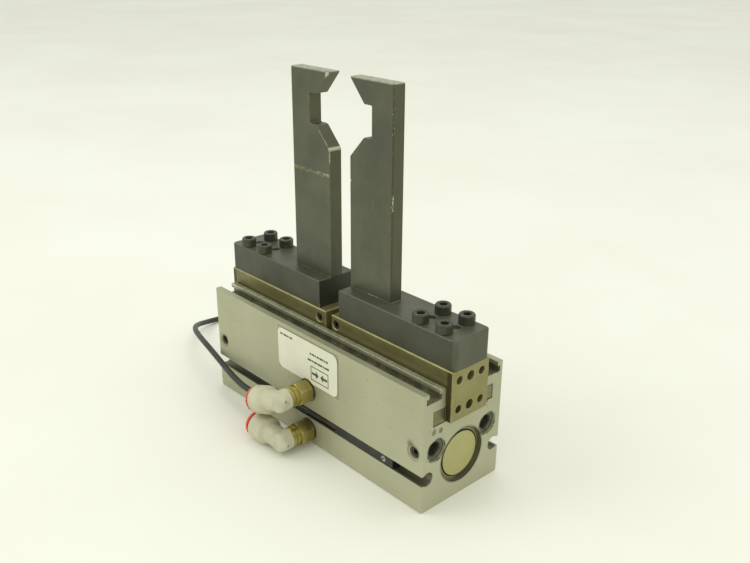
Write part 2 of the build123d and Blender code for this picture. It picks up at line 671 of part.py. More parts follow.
# ================= jaws, racks and fingers =================
for name, turn in (("right", 0), ("left", 180)):
    about_z = Location((0, 0, 0), (0, 0, turn))

    with BuildPart() as jaw:
        with BuildSketch(Plane.YZ.offset(jaw_inner)):
            with Locations((0, jaw_bottom)):
                Rectangle(2 * jaw_half_width, jaw_top - jaw_bottom, align=(Align.CENTER, Align.MIN))
        extrude(amount=jaw_outer - jaw_inner)
        chamfer(jaw.edges().filter_by(Axis.Z), jaw_edge_chamfer)
        chamfer(jaw.edges().group_by(Axis.Z)[-1], jaw_edge_chamfer)
        with BuildSketch(Plane.YZ.offset(jaw_inner + jaw_edge_chamfer)):
            with Locations((0, jaw_bottom)):
                Rectangle(2 * wing_half_width, wing_top - jaw_bottom, align=(Align.CENTER, Align.MIN))
        extrude(amount=wing_outer - jaw_inner - jaw_edge_chamfer)
        end_face = Plane.YZ.offset(jaw_outer)
        with BuildSketch(end_face):
            with Locations((0, jaw_pattern_z)):
                with GridLocations(jaw_pattern, jaw_pattern, 2, 2):
                    Circle(jaw_tap_radius)
                with GridLocations(1, jaw_pattern, 1, 2):
                    Circle(jaw_dowel_radius)
        extrude(amount=-jaw_tap_depth, mode=Mode.SUBTRACT)
        rims = jaw.edges().filter_by(GeomType.CIRCLE).group_by(Axis.X)[-1]
        chamfer(rims, jaw_hole_chamfer)
        with BuildSketch(Plane.XY.offset(jaw_top)):
            with Locations((screw_pattern_x, 0)):
                with GridLocations(jaw_pattern, jaw_pattern, 2, 2):
                    Circle(screw_radius)
        extrude(amount=-(jaw_top - screw_end), mode=Mode.SUBTRACT)
        with BuildSketch(Plane.XY.offset(jaw_top)):
            with Locations((screw_pattern_x, 0)):
                with GridLocations(jaw_pattern, 1, 2, 1):
                    Circle(jaw_dowel_radius)
        extrude(amount=-(jaw_top - finger_dowel_end), mode=Mode.SUBTRACT)
        with BuildSketch(Plane.XY.offset(jaw_bottom)):
            with Locations(*rack_screw_spots):
                Circle(rack_screw_radius)
        extrude(amount=rack_screw_top - jaw_bottom, mode=Mode.SUBTRACT)
        for side in (-1, 1):
            flank = Plane(origin=(0, side * jaw_half_width, 0), x_dir=(1, 0, 0), z_dir=(0, side, 0))
            with BuildSketch(flank):
                with Locations((jaw_set_screw_x[side], -side * jaw_set_screw_z)):
                    Circle(set_screw_radius)
            extrude(amount=-set_screw_pocket, mode=Mode.SUBTRACT)
            with BuildSketch(flank):
                with Locations((jaw_set_screw_x[side], -side * jaw_set_screw_z)):
                    Circle(set_screw_radius + jaw_set_screw_chamfer)
            extrude(amount=-jaw_set_screw_chamfer, taper=45, mode=Mode.SUBTRACT)
    jaw.part.locate(about_z)
    write(jaw, f"{name}_jaw")

    with BuildPart() as jaw_set_screws:
        for side in (-1, 1):
            set_screw(Plane(origin=(0, side * (jaw_half_width - set_screw_sunk), 0), x_dir=(1, 0, 0),
                            z_dir=(0, side, 0)), ((jaw_set_screw_x[side], -side * jaw_set_screw_z),),
                      set_screw_length)
    jaw_set_screws.part.locate(about_z)
    write(jaw_set_screws, f"{name}_jaw_set_screws")

    with BuildPart() as rack:
        root_y = pitch_radius + dedendum
        tip_y = pitch_radius - addendum
        with BuildSketch(Plane.XY.offset(rack_bottom)):
            with Locations((-rack_tail, root_y)):
                Rectangle(rack_tail + rack_pad_inner, rack_back - root_y, align=(Align.MIN, Align.MIN))
            lean = tan(radians(pressure_angle))
            half_tip = tooth_thickness / 2 - addendum * lean
            half_root = tooth_thickness / 2 + dedendum * lean
            for count in range(-rack_teeth_left, rack_teeth_right):
                centre = (count + 0.5) * tooth_pitch
                with BuildLine():
                    Polyline((centre - half_root, root_y + tooth_overlap), (centre - half_root, root_y),
                             (centre - half_tip, tip_y), (centre + half_tip, tip_y),
                             (centre + half_root, root_y), (centre + half_root, root_y + tooth_overlap),
                             close=True)
                make_face()
        extrude(amount=rack_top - rack_bottom)
        with BuildSketch(Plane.XY.offset(rack_bottom)):
            with Locations((rack_pad_inner, rack_pad_far_y)):
                Rectangle(rack_pad_outer - rack_pad_inner, rack_back - rack_pad_far_y,
                          align=(Align.MIN, Align.MIN))
        extrude(amount=jaw_bottom - rack_bottom)
        with BuildSketch(Plane.XY.offset(rack_bottom)):
            with Locations(*rack_screw_spots):
                Circle(rack_screw_radius)
        extrude(amount=jaw_bottom - rack_bottom, mode=Mode.SUBTRACT)
        with BuildSketch(Plane.XY.offset(rack_bottom)):
            with Locations(*rack_screw_spots):
                Circle(rack_screw_head_radius)
        extrude(amount=rack_screw_head_height + rack_screw_sunk, mode=Mode.SUBTRACT)
        if name == "right":
            with BuildSketch(Plane.XY.offset(rack_bottom)):
                with Locations((piston_centre, drive_pin_y)):
                    Circle(drive_pin_radius)
            extrude(amount=drive_pin_top - rack_bottom, mode=Mode.SUBTRACT)
    rack.part.locate(about_z)
    write(rack, f"{name}_rack")

    with BuildPart() as rack_screws:
        head_bottom = rack_bottom + rack_screw_sunk
        with BuildSketch(Plane.XY.offset(head_bottom)):
            with Locations(*rack_screw_spots):
                Circle(rack_screw_head_radius)
                RegularPolygon(hex_key_half, 6, major_radius=False, mode=Mode.SUBTRACT)
        extrude(amount=rack_screw_head_height)
        with BuildSketch(Plane.XY.offset(head_bottom + rack_screw_key_depth)):
            with Locations(*rack_screw_spots):
                Circle(rack_screw_radius)
        extrude(amount=rack_screw_top - head_bottom - rack_screw_key_depth)
    rack_screws.part.locate(about_z)
    write(rack_screws, f"{name}_rack_screws")

    with BuildPart() as finger:
        with BuildSketch(Plane.XY.offset(jaw_top)):
            with Locations((finger_inner, 0)):
                Rectangle(finger_outer - finger_inner, 2 * block_half_width, align=(Align.MIN, Align.CENTER))
        extrude(amount=block_top - jaw_top)
        fillet(finger.edges().filter_by(Axis.Z).group_by(Axis.X)[-1], block_corner)
        chamfer(finger.edges().group_by(Axis.Z)[-1], block_edge)
        with BuildSketch(Plane.XZ) as blade_profile:
            with BuildLine():
                Polyline((finger_inner, block_top - 1), (finger_inner, chamfer_bottom),
                         (notch_shoulder, notch_bottom), (notch_wall, notch_bottom),
                         (notch_wall, notch_top), (notch_shoulder, notch_top), (finger_inner, blade_top),
                         (blade_outer, blade_top), (blade_outer, block_top - 1), close=True)
            make_face()
            for corner, radius in blade_corners:
                fillet(blade_profile.vertices().sort_by_distance(Vector(*corner))[0], radius)
        extrude(amount=blade_half_thickness, both=True)
        outer_edges = finger.edges().filter_by(Axis.Z).filter_by(
            lambda edge: abs(edge.center().X - blade_outer) < 0.01 and edge.center().Z > block_top)
        chamfer(outer_edges, blade_edge)
        with BuildSketch(Plane.XY.offset(jaw_top)):
            with Locations((screw_pattern_x, 0)):
                with GridLocations(jaw_pattern, jaw_pattern, 2, 2):
                    Circle(screw_clearance_radius)
                with GridLocations(jaw_pattern, 1, 2, 1):
                    Circle(jaw_dowel_radius)
        extrude(amount=block_top - jaw_top, mode=Mode.SUBTRACT)
    finger.part.locate(about_z)
    write(finger, f"{name}_finger")

    with BuildPart() as finger_screws:
        with BuildSketch(Plane.XY.offset(block_top)):
            with Locations((screw_pattern_x, 0)):
                with GridLocations(jaw_pattern, jaw_pattern, 2, 2):
                    Circle(screw_head_radius)
        extrude(amount=screw_head_height)
        chamfer(finger_screws.edges().group_by(Axis.Z)[-1], screw_head_chamfer)
        with BuildSketch(Plane.XY.offset(block_top + screw_head_height)):
            with Locations((screw_pattern_x, 0)):
                with GridLocations(jaw_pattern, jaw_pattern, 2, 2):
                    RegularPolygon(screw_socket_flats / 2, 6, major_radius=False)
        extrude(amount=-screw_socket_depth, mode=Mode.SUBTRACT)
        with BuildSketch(Plane.XY.offset(block_top)):
            with Locations((screw_pattern_x, 0)):
                with GridLocations(jaw_pattern, jaw_pattern, 2, 2):
                    Circle(screw_radius)
        extrude(amount=-(block_top - screw_end))
    finger_screws.part.locate(about_z)
    write(finger_screws, f"{name}_finger_screws")

    with BuildPart() as finger_dowels:
        with BuildSketch(Plane.XY.offset(finger_dowel_end)):
            with Locations((screw_pattern_x, 0)):
                with GridLocations(jaw_pattern, 1, 2, 1):
                    Circle(jaw_dowel_radius)
        extrude(amount=finger_dowel_top - finger_dowel_end)
        chamfer(finger_dowels.edges().group_by(Axis.Z)[-1], finger_dowel_chamfer)
    finger_dowels.part.locate(about_z)
    write(finger_dowels, f"{name}_finger_dowels")

# ================= piston, moving with the right jaw =================
piston_start = piston_centre - piston_length / 2
piston_end = piston_centre + piston_length / 2


def head_outline():
    """Outline of one piston head as (radius, distance from its end) points."""
    return [(piston_radius, 0), (piston_radius, seal_groove[0]), (seal_groove[2], seal_groove[0]),
            (seal_groove[2], seal_groove[1]), (piston_radius, seal_groove[1]),
            (piston_radius, wear_groove[0]), (wear_groove[2], wear_groove[0]),
            (wear_groove[2], wear_groove[1]), (piston_radius, wear_groove[1]),
            (piston_radius, piston_head_length - piston_cone), (piston_waist_radius, piston_head_length)]


magnet_start = piston_end - magnet_groove[1]
magnet_end = piston_end - magnet_groove[0]
with BuildPart() as piston:
    left_head = [(radius, piston_start + x) for radius, x in head_outline()]
    right_head = [(radius, piston_end - x) for radius, x in reversed(head_outline())]
    magnet_seat = [(piston_waist_radius, magnet_start), (magnet_groove[2], magnet_start),
                   (magnet_groove[2], magnet_end), (piston_waist_radius, magnet_end)]
    bore_turned([(0, piston_start)] + left_head + magnet_seat + right_head + [(0, piston_end)])
    with BuildSketch(Plane.XY.offset(drive_pin_bottom)):
        with Locations((piston_centre, drive_pin_y)):
            Circle(drive_pin_radius)
    extrude(amount=drive_pin_top - drive_pin_bottom, mode=Mode.SUBTRACT)
write(piston, "piston")

for name, groove in (("piston_seals", seal_groove), ("piston_wear_rings", wear_groove)):
    with BuildPart() as rings:
        for start in (piston_start + groove[0], piston_end - groove[1]):
            bore_turned(ring_points(groove[2], bore_radius - ring_fit, start, start + groove[1] - groove[0]))
    write(rings, name)

with BuildPart() as piston_magnet:
    bore_turned(ring_points(magnet_groove[2], magnet_radius, magnet_start, magnet_end))
write(piston_magnet, "piston_magnet")

with BuildPart() as drive_pin:
    with BuildSketch(Plane.XY.offset(drive_pin_bottom)):
        with Locations((piston_centre, drive_pin_y)):
            Circle(drive_pin_radius)
    extrude(amount=drive_pin_top - drive_pin_bottom)
write(drive_pin, "drive_pin")

# ================= position sensor in the front slot =================
with BuildPart() as position_sensor:
    with BuildSketch(Plane.YZ.offset(sensor_start)):
        with Locations((-sensor_slot_y, sensor_slot_z)):
            Circle(sensor_slot_radius - sensor_gap)
        with Locations((-(sensor_slot_y + sensor_face) / 2, sensor_slot_z)):
            Rectangle(sensor_face - sensor_slot_y, sensor_slot_mouth - 2 * sensor_gap)
    extrude(amount=sensor_end - sensor_start)
    with BuildSketch(front_face.offset(sensor_face - half_width)):
        with Locations((sensor_screw_x, sensor_slot_z)):
            Circle(sensor_screw_radius)
    extrude(amount=-sensor_screw_depth, mode=Mode.SUBTRACT)
write(position_sensor, "position_sensor")

with BuildPart() as sensor_clamp_screw:
    with BuildSketch(front_face.offset(sensor_face - half_width)):
        with Locations((sensor_screw_x, sensor_slot_z)):
            Circle(sensor_screw_radius)
    extrude(amount=-sensor_screw_depth)
    with BuildSketch(front_face.offset(sensor_face - half_width)):
        with Locations((sensor_screw_x, sensor_slot_z)):
            Rectangle(2 * sensor_screw_radius, sensor_screw_slot, rotation=sensor_screw_turned)
    extrude(amount=-sensor_screw_slot_depth, mode=Mode.SUBTRACT)
write(sensor_clamp_screw, "sensor_clamp_screw")

# The cable: straight runs joined by tangent arcs, each as large as its two runs allow.
points = [Vector(*point) for point in cable_route]
runs = [after - before for before, after in zip(points, points[1:])]
bend_radii = []
for before, after in zip(runs, runs[1:]):
    turn = before.get_angle(after)
    bend_radii.append(corner_share * min(before.length, after.length) / tan(radians(turn / 2)))
with BuildPart() as sensor_cable:
    with BuildLine() as route:
        FilletPolyline(*points, radius=bend_radii)
    with BuildSketch(Plane(origin=points[0], z_dir=runs[0])):
        Circle(cable_radius)
    sweep()
write(sensor_cable, "sensor_cable")
print("cable length", round(route.wire().length, 1), "smallest radius", round(min(bend_radii), 1))
print("volume over section times length",
      round(sensor_cable.part.volume / (pi * cable_radius ** 2 * route.wire().length), 4))

plug_plane = Plane(origin=(plug_start, plug_y, plug_z), x_dir=(0, 1, 0), z_dir=(0, 0, -1))
with BuildPart() as plug_body:
    turned(((0, 0), (plug_boot_radius, 0), (plug_boot_radius + plug_boot_flare, plug_boot_length),
            (plug_body_radius, plug_boot_length + plug_shoulder), (plug_body_radius, plug_nut_start),
            (plug_nut_bore, plug_nut_start), (plug_nut_bore, plug_nut_start + plug_core_length),
            (0, plug_nut_start + plug_core_length)), plug_plane)
write(plug_body, "plug_body")

with BuildPart() as plug_nut:
    turned(ring_points(plug_nut_bore, plug_nut_radius, plug_nut_start, plug_nut_start + plug_nut_length),
           plug_plane)
    rims = plug_nut.edges().filter_by(GeomType.CIRCLE).filter_by(
        lambda edge: abs(edge.radius - plug_nut_radius) < 0.01)
    chamfer(rims, plug_nut_chamfer)
write(plug_nut, "plug_nut")

with BuildPart() as plug_pins:
    with BuildSketch(Plane.YZ.offset(plug_start + plug_nut_start + plug_core_length)):
        with Locations((plug_y, plug_z)):
            with PolarLocations(plug_pin_circle, 3, start_angle=90):
                Circle(plug_pin_radius)
    extrude(amount=plug_pin_length)
write(plug_pins, "plug_pins")
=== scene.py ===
import bmesh
import bpy
from math import cos, pi, radians, sin
from mathutils import Matrix, Vector


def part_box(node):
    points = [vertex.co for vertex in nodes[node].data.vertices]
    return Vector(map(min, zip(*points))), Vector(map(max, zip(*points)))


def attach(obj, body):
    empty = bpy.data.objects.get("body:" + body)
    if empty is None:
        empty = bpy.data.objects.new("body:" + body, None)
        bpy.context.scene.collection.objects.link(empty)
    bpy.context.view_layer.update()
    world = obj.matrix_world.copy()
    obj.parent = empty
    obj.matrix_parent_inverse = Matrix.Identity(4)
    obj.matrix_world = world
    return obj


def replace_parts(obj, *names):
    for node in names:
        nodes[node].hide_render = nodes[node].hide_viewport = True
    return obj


# Pneumatic gripper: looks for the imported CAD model. Metres, in the CAD frame:
# +X is the jaw travel, -Y the face with the air ports, +Z up from the base.

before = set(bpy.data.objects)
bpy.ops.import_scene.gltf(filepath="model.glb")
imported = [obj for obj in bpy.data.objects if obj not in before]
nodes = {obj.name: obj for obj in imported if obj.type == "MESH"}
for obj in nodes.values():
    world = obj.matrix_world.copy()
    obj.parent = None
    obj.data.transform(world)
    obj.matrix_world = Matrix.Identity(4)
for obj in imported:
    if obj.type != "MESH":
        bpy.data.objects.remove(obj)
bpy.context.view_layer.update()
scene = bpy.context.scene
MM = 0.001


# ------------------------------------------------------------------ camera, floor and light
def place_camera():
    azimuth, elevation, roll = radians(47.418), radians(22.342), radians(0.386)
    back = Vector((sin(azimuth) * cos(elevation), -cos(azimuth) * cos(elevation), sin(elevation)))
    right = Vector((cos(azimuth), sin(azimuth), 0))
    up = back.cross(right)
    axis_x = cos(roll) * right + sin(roll) * up
    axis_y = cos(roll) * up - sin(roll) * right
    data = bpy.data.cameras.new("camera")
    data.lens = 40.93
    data.sensor_width = 36.0
    data.clip_start = 0.01
    camera = bpy.data.objects.new("camera", data)
    scene.collection.objects.link(camera)
    turn = Matrix((axis_x, axis_y, back)).transposed().to_4x4()
    camera.matrix_world = Matrix.Translation((0.32997, -0.28192, 0.26874)) @ turn
    scene.camera = camera


def area_light(name, place, target, size, watts, tint):
    data = bpy.data.lights.new(name, "AREA")
    data.shape = "DISK"
    data.size = size
    data.energy = watts
    data.color = tint
    lamp = bpy.data.objects.new(name, data)
    scene.collection.objects.link(lamp)
    lamp.location = place
    lamp.rotation_mode = "QUATERNION"
    lamp.rotation_quaternion = (Vector(place) - Vector(target)).to_track_quat("Z", "Y")


# ------------------------------------------------------------------ node helpers
class Shader:
    """A material under construction: one Principled shader and helpers that add nodes to it."""

    def __init__(self, name):
        self.material = bpy.data.materials.new(name)
        self.material.use_nodes = True
        self.tree = self.material.node_tree
        self.bsdf = self.tree.nodes["Principled BSDF"]
        self.coordinates = self.add("ShaderNodeTexCoord")
        self.place = self.coordinates.outputs["Object"]

    def add(self, kind, **settings):
        node = self.tree.nodes.new(kind)
        for key, value in settings.items():
            setattr(node, key, value)
        return node

    def put(self, socket, value):
        """Feed a socket from another socket, or set it to a plain value."""
        if isinstance(value, bpy.types.NodeSocket):
            self.tree.links.new(value, socket)
        else:
            socket.default_value = value

    def math(self, operation, first, second=0.0, third=0.0, clamp=False):
        node = self.add("ShaderNodeMath", operation=operation, use_clamp=clamp)
        for socket, value in zip(node.inputs, (first, second, third)):
            self.put(socket, value)
        return node.outputs[0]

    def noise(self, scale, detail=2.0, roughness=0.5, stretch=(1, 1, 1), offset=0.0):
        """Noise of about `scale` blobs per metre."""
        node = self.add("ShaderNodeTexNoise")
        vector = self.add("ShaderNodeMapping")
        self.put(vector.inputs["Vector"], self.place)
        vector.inputs["Location"].default_value = (offset, offset * 0.7, offset * 1.3)
        vector.inputs["Scale"].default_value = stretch
        self.put(node.inputs["Vector"], vector.outputs[0])
        node.inputs["Scale"].default_value = scale
        node.inputs["Detail"].default_value = detail
        node.inputs["Roughness"].default_value = roughness
        return node.outputs[0]

    def step(self, value, low, high, start=0.0, end=1.0):
        """Ease from start to end as value goes from low to high."""
        node = self.add("ShaderNodeMapRange", interpolation_type="SMOOTHSTEP")
        for socket, number in zip(node.inputs, (value, low, high, start, end)):
            self.put(socket, number)
        return node.outputs[0]

    def mix(self, factor, first, second):
        node = self.add("ShaderNodeMix", data_type="RGBA")
        self.put(node.inputs["Factor"], factor)
        colours = [socket for socket in node.inputs if socket.type == "RGBA"]
        self.put(colours[0], first if isinstance(first, bpy.types.NodeSocket) else rgba(first))
        self.put(colours[1], second if isinstance(second, bpy.types.NodeSocket) else rgba(second))
        return [socket for socket in node.outputs if socket.type == "RGBA"][0]

    def paint(self, colour, over, mask, share):
        """Lay another colour over a share of a mask."""
        return self.mix(self.times(mask, share), colour, over)

    def times(self, *values):
        """Values multiplied together."""
        product = values[0]
        for value in values[1:]:
            product = self.math("MULTIPLY", product, value)
        return product

    def over(self, value, limit):
        return self.math("GREATER_THAN", value, limit)

    def under(self, value, limit):
        return self.math("LESS_THAN", value, limit)

    def apart(self, value, target):
        """How far a value is from a target."""
        return self.math("ABSOLUTE", self.math("SUBTRACT", value, target))

    def axis(self, index):
        """One object-space coordinate, in metres."""
        node = self.add("ShaderNodeSeparateXYZ")
        self.put(node.inputs[0], self.place)
        return node.outputs[index]

    def off_middle(self, index):
        """Distance from the middle plane across an axis."""
        return self.math("ABSOLUTE", self.axis(index))

    def facing(self, index):
        """How squarely the surface faces along an axis, either way."""
        node = self.add("ShaderNodeSeparateXYZ")
        self.put(node.inputs[0], self.coordinates.outputs["Normal"])
        return self.math("ABSOLUTE", node.outputs[index])

    def within(self, index, low, high, soft):
        """1 between two planes across an axis, fading over a distance."""
        value = self.axis(index)
        rise = self.step(value, low - soft, low + soft)
        fall = self.step(value, high - soft, high + soft, 1.0, 0.0)
        return self.times(rise, fall)

    def from_axis(self, index, centre):
        """Distance from a line through a point, running along an axis."""
        keep = [1.0, 1.0, 1.0]
        keep[index] = 0.0
        flat = self.add("ShaderNodeVectorMath", operation="MULTIPLY")
        self.put(flat.inputs[0], self.place)
        flat.inputs[1].default_value = keep
        node = self.add("ShaderNodeVectorMath", operation="DISTANCE")
        self.put(node.inputs[0], flat.outputs[0])
        node.inputs[1].default_value = [value * share for value, share in zip(centre, keep)]
        return node.outputs["Value"]

    def ring(self, index, centre, radius, half, soft):
        """1 on a circle about a line along an axis."""
        away = self.apart(self.from_axis(index, centre), radius)
        return self.step(away, half, half + soft, 1.0, 0.0)

    def outline(self, first, second, centre, sizes, half, soft):
        """1 along a rectangle's outline, in the plane of two axes."""
        gaps = []
        for index, middle, size in zip((first, second), centre, sizes):
            gaps.append(self.math("SUBTRACT", self.apart(self.axis(index), middle), size))
        away = self.math("ABSOLUTE", self.math("MAXIMUM", *gaps))
        return self.step(away, half, half + soft, 1.0, 0.0)

    def from_point(self, centre):
        node = self.add("ShaderNodeVectorMath", operation="DISTANCE")
        self.put(node.inputs[0], self.place)
        node.inputs[1].default_value = centre
        return node.outputs["Value"]

    def near(self, centre, radius, soft):
        """1 close to a point, fading out over a distance."""
        return self.step(self.from_point(centre), radius, radius + soft, 1.0, 0.0)

    def ragged(self, centre, radius, grain=900, offset=0.0):
        """A crisp chip with a torn outline, about a point."""
        reach = self.times(self.from_point(centre), 1 / radius)
        torn = self.math("MULTIPLY_ADD", self.noise(grain, 4, 0.7, offset=offset), 1.6, -0.8)
        return self.step(self.math("ADD", reach, torn), 0.92, 1.0, 1.0, 0.0)

    def specks(self, cells, size, share, offset=0.0):
        """Scattered dots: cells per metre, size as a share of a cell, and the share of cells used."""
        vector = self.add("ShaderNodeMapping")
        self.put(vector.inputs["Vector"], self.place)
        vector.inputs["Location"].default_value = (offset, offset, offset)
        node = self.add("ShaderNodeTexVoronoi")
        self.put(node.inputs["Vector"], vector.outputs[0])
        node.inputs["Scale"].default_value = cells
        inside = self.step(node.outputs["Distance"], size * 0.6, size, 1.0, 0.0)
        chance = self.add("ShaderNodeSeparateColor")
        self.put(chance.inputs[0], node.outputs["Color"])
        return self.times(inside, self.under(chance.outputs[0], share))

    def bump(self, height, distance, strength=1.0, normal=None):
        """Relief from a 0 to 1 height that stands for a distance in metres."""
        node = self.add("ShaderNodeBump")
        self.put(node.inputs["Height"], height)
        node.inputs["Distance"].default_value = distance
        node.inputs["Strength"].default_value = strength
        if normal is not None:
            self.put(node.inputs["Normal"], normal)
        return node.outputs[0]

    def finish(self, colour, roughness, metallic=0.0, normal=None, **plain):
        self.put(self.bsdf.inputs["Base Color"],
                 colour if isinstance(colour, bpy.types.NodeSocket) else rgba(colour))
        self.put(self.bsdf.inputs["Roughness"], roughness)
        self.put(self.bsdf.inputs["Metallic"], metallic)
        if normal is not None:
            self.put(self.bsdf.inputs["Normal"], normal)
        for key, value in plain.items():
            self.bsdf.inputs[key.replace("_", " ")].default_value = value
        return self.material


def rgba(colour):
    """Colours are written as 0 to 255 screen values, as read off a colour chart."""
    linear = [((c / 255 + 0.055) / 1.055) ** 2.4 if c > 10 else c / 255 / 12.92 for c in colour[:3]]
    return (*linear, 1.0)


# ------------------------------------------------------------------ places on the part, in metres
END_X, FACE_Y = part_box("body")[1][:2]
JAW_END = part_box("right_jaw")[1][0]
BLADE_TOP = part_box("right_finger")[1][2]
BLADE_FRONT = -0.0040
BLOCK_TOP = 0.0914
BORE_Z = 0.0229
INSERT_Y, INSERT_Z, INSERT_FACE = 0.019, 0.03335, 0.0878
SIDE_HOLE_X = 0.0832
SENSOR_SLOT_Z, SENSOR_SLOT_FLOOR = (0.0143, 0.0233), 0.0200
GUIDE_Z, GUIDE_SIDE = (0.0412, 0.0647), 0.0269
LIP_RIM, LIP_TOP = 0.01735, 0.0663
WING_POCKET_Z, WING_POCKET_HALF = 0.05155, (0.0215, 0.00395)
LABEL_Z, LABEL_HALF = 0.0512, (0.0261, 0.0127)
NOTCH_CORNER = (-0.0083, 0.1632)
PORTS = {"upper": (0.0333, 20.5), "lower": (0.0083, -1.0)}
ELBOW_Y, KNOB_Y, GATE_REACH = -0.0471, -0.0480, 0.0060


# ------------------------------------------------------------------ materials
def anodised_body():
    """Satin anodised extrusion: fine lines along X, specks, guide grime, painted shade in the sensor
    slots.
    """
    s = Shader("anodised_body")
    patches = s.step(s.noise(16, 3, 0.55), 0.35, 0.68)
    lines = s.noise(900, 2, 0.6, stretch=(0.04, 1, 1))
    blast = s.noise(3800, 2, 0.6)
    colour = s.mix(patches, (173, 174, 146), (184, 184, 156))
    colour = s.mix(s.step(lines, 0.3, 0.75, 0.0, 0.10), colour, (152, 152, 127))
    between_ends = s.within(0, 0.0003 - END_X, END_X - 0.0003, 0.0002)
    guide = s.times(between_ends, s.within(2, *GUIDE_Z, 0.0006),
                    s.within(1, -GUIDE_SIDE, GUIDE_SIDE, 0.0001))
    colour = guide_grime_and_slot_shade(s, colour, guide, between_ends)
    stained = s.step(s.noise(330, 3, 0.7, offset=0.7), 0.3, 0.62)
    colour = end_face_marks(s, colour, stained)
    colour = front_face_marks(s, colour, stained)
    colour = s.paint(colour, (84, 80, 60), s.specks(130, 0.055, 1.0), 0.85)
    dents = s.specks(75, 0.05, 1.0, offset=0.011)
    rough = s.step(s.noise(60, 3, 0.6), 0.3, 0.7, 0.40, 0.50)
    rough = s.math("SUBTRACT", rough, s.times(guide, 0.08))
    height = s.math("MULTIPLY_ADD", lines, 0.12, s.times(blast, 0.4))
    normal = s.bump(dents, 0.0003, 0.8, s.bump(height, 0.00002, 0.6))
    return s.finish(colour, rough, 0.55, normal)


def guide_grime_and_slot_shade(s, colour, guide, between_ends):
    """Grime in the jaw guide, painted shade in the sensor slots; inner T-slot lips ribbed, with a bright
    rim.
    """
    cloudy = s.step(s.noise(120, 4, 0.7), 0.25, 0.6, 0.38, 0.85)
    colour = s.mix(s.times(guide, cloudy), colour, (92, 92, 66))
    # Painted shade on the floor and walls of the sensor slots.
    slot = s.times(s.within(2, *SENSOR_SLOT_Z, 0.0002),
                   s.within(1, 0.0004 - FACE_Y, FACE_Y - 0.0004, 0.0002),
                   s.over(s.off_middle(1), SENSOR_SLOT_FLOOR), between_ends)
    colour = s.paint(colour, (66, 64, 46), slot, 0.7)
    on_top = s.over(s.axis(2), LIP_TOP)
    rim = s.step(s.apart(s.off_middle(1), LIP_RIM), 0.00015, 0.0003, 1.0, 0.0)
    patchy = s.step(s.noise(300, 3, 0.7, offset=0.9), 0.34, 0.5, 0.3, 1.0)
    colour = s.mix(s.times(rim, on_top, patchy), colour, (232, 233, 208))
    ribs = s.step(s.noise(900, 2, 0.6, stretch=(1.0, 0.1, 1.0), offset=0.4), 0.42, 0.6)
    inside_rim = s.under(s.off_middle(1), LIP_RIM - 0.00025)
    return s.paint(colour, (108, 106, 80), s.times(ribs, inside_rim, on_top), 0.45)


def end_face_marks(s, colour, stained):
    """Dark outlines round the wing pockets and the inserts, a stain and painted shade at the bore's
    mouth, oily smears.
    """
    on_end = s.over(s.off_middle(0), END_X - 0.0005)
    pockets = s.outline(1, 2, (0.0, WING_POCKET_Z), WING_POCKET_HALF, 0.0002, 0.00025)
    colour = s.paint(colour, (46, 44, 28), s.times(pockets, on_end), 0.85)
    for side in (-1, 1):
        around = s.ring(0, (0, side * INSERT_Y, INSERT_Z), 0.0063, 0.00015, 0.0006)
        colour = s.paint(colour, (66, 66, 48), s.times(around, stained, on_end), 0.9)
    in_mouth = s.over(s.off_middle(0), END_X - 0.0035)
    at_rim = s.over(s.off_middle(0), END_X - 0.0006)
    # Round the bore's mouth: a grey stain ring on the end face, painted shade inside the mouth, and a
    # dark line of painted shade at its rim.
    for radius, half, soft, where, stain_and_shade, share in (
            (0.0155, 0.00035, 0.0003, on_end, (112, 111, 84), 0.4),
            (0.0151, 0.00025, 0.00005, in_mouth, (88, 84, 58), 0.7),
            (0.0150, 0.00012, 0.00012, at_rim, (40, 36, 18), 0.85)):
        ring = s.times(s.ring(0, (0, 0, BORE_Z), radius, half, soft), where)
        colour = s.paint(colour, stain_and_shade, ring, share)
    smears = s.step(s.noise(420, 3, 0.7, offset=0.3), 0.52, 0.6)
    for end, y, z in ((1, 0.0195, 0.0465), (1, 0.0235, 0.0605), (1, -0.0215, 0.0465),
                      (-1, 0.0205, 0.0470), (-1, -0.0190, 0.0465)):
        patch = s.times(s.near((end * END_X, y, z), 0.0015, 0.0028), smears)
        colour = s.paint(colour, (88, 86, 62), patch, 0.75)
    return colour


def front_face_marks(s, colour, stained):
    """Spot faces of the side holes, painted shade down their threads, a smudge, a painted shadow round
    the label.
    """
    for side in (-1, 1):
        away = s.from_axis(1, (side * SIDE_HOLE_X, 0, INSERT_Z))
        spot_face = s.times(s.step(away, 0.0045, 0.0048, 1.0, 0.0), stained)
        colour = s.paint(colour, (96, 96, 74), spot_face, 0.35)
        # Painted shade down the side holes' threads.
        colour = s.paint(colour, (52, 50, 34), s.step(away, 0.0031, 0.0034, 1.0, 0.0), 0.8)
    on_front = s.under(s.axis(1), 0.00035 - FACE_Y)
    smudge = s.near((SIDE_HOLE_X - 0.0026, -FACE_Y, INSERT_Z + 0.00385), 0.0006, 0.0028)
    colour = s.paint(colour, (84, 84, 62), s.times(smudge, on_front), 0.65)
    # A painted shadow of the label's edge on the face round it.
    label = s.outline(0, 2, (0.0, LABEL_Z), LABEL_HALF, 0.00012, 0.00035)
    return s.paint(colour, (92, 92, 70), s.times(label, on_front), 0.5)


def bare_edge(name, bright, dull, wear_scale=240, low=0.35, high=0.6, metallic=0.8):
    """What shows along an edge: bare metal rubbed bright in places, the coating left in others."""
    s = Shader(name)
    rubbed = s.step(s.noise(wear_scale, 4, 0.65), low, high)
    rough = s.step(rubbed, 0.0, 1.0, 0.45, 0.26)
    nicks = s.bump(s.noise(1500, 3, 0.7), 0.00006, 0.5)
    return s.finish(s.mix(rubbed, dull, bright), rough, s.times(rubbed, metallic), nicks)


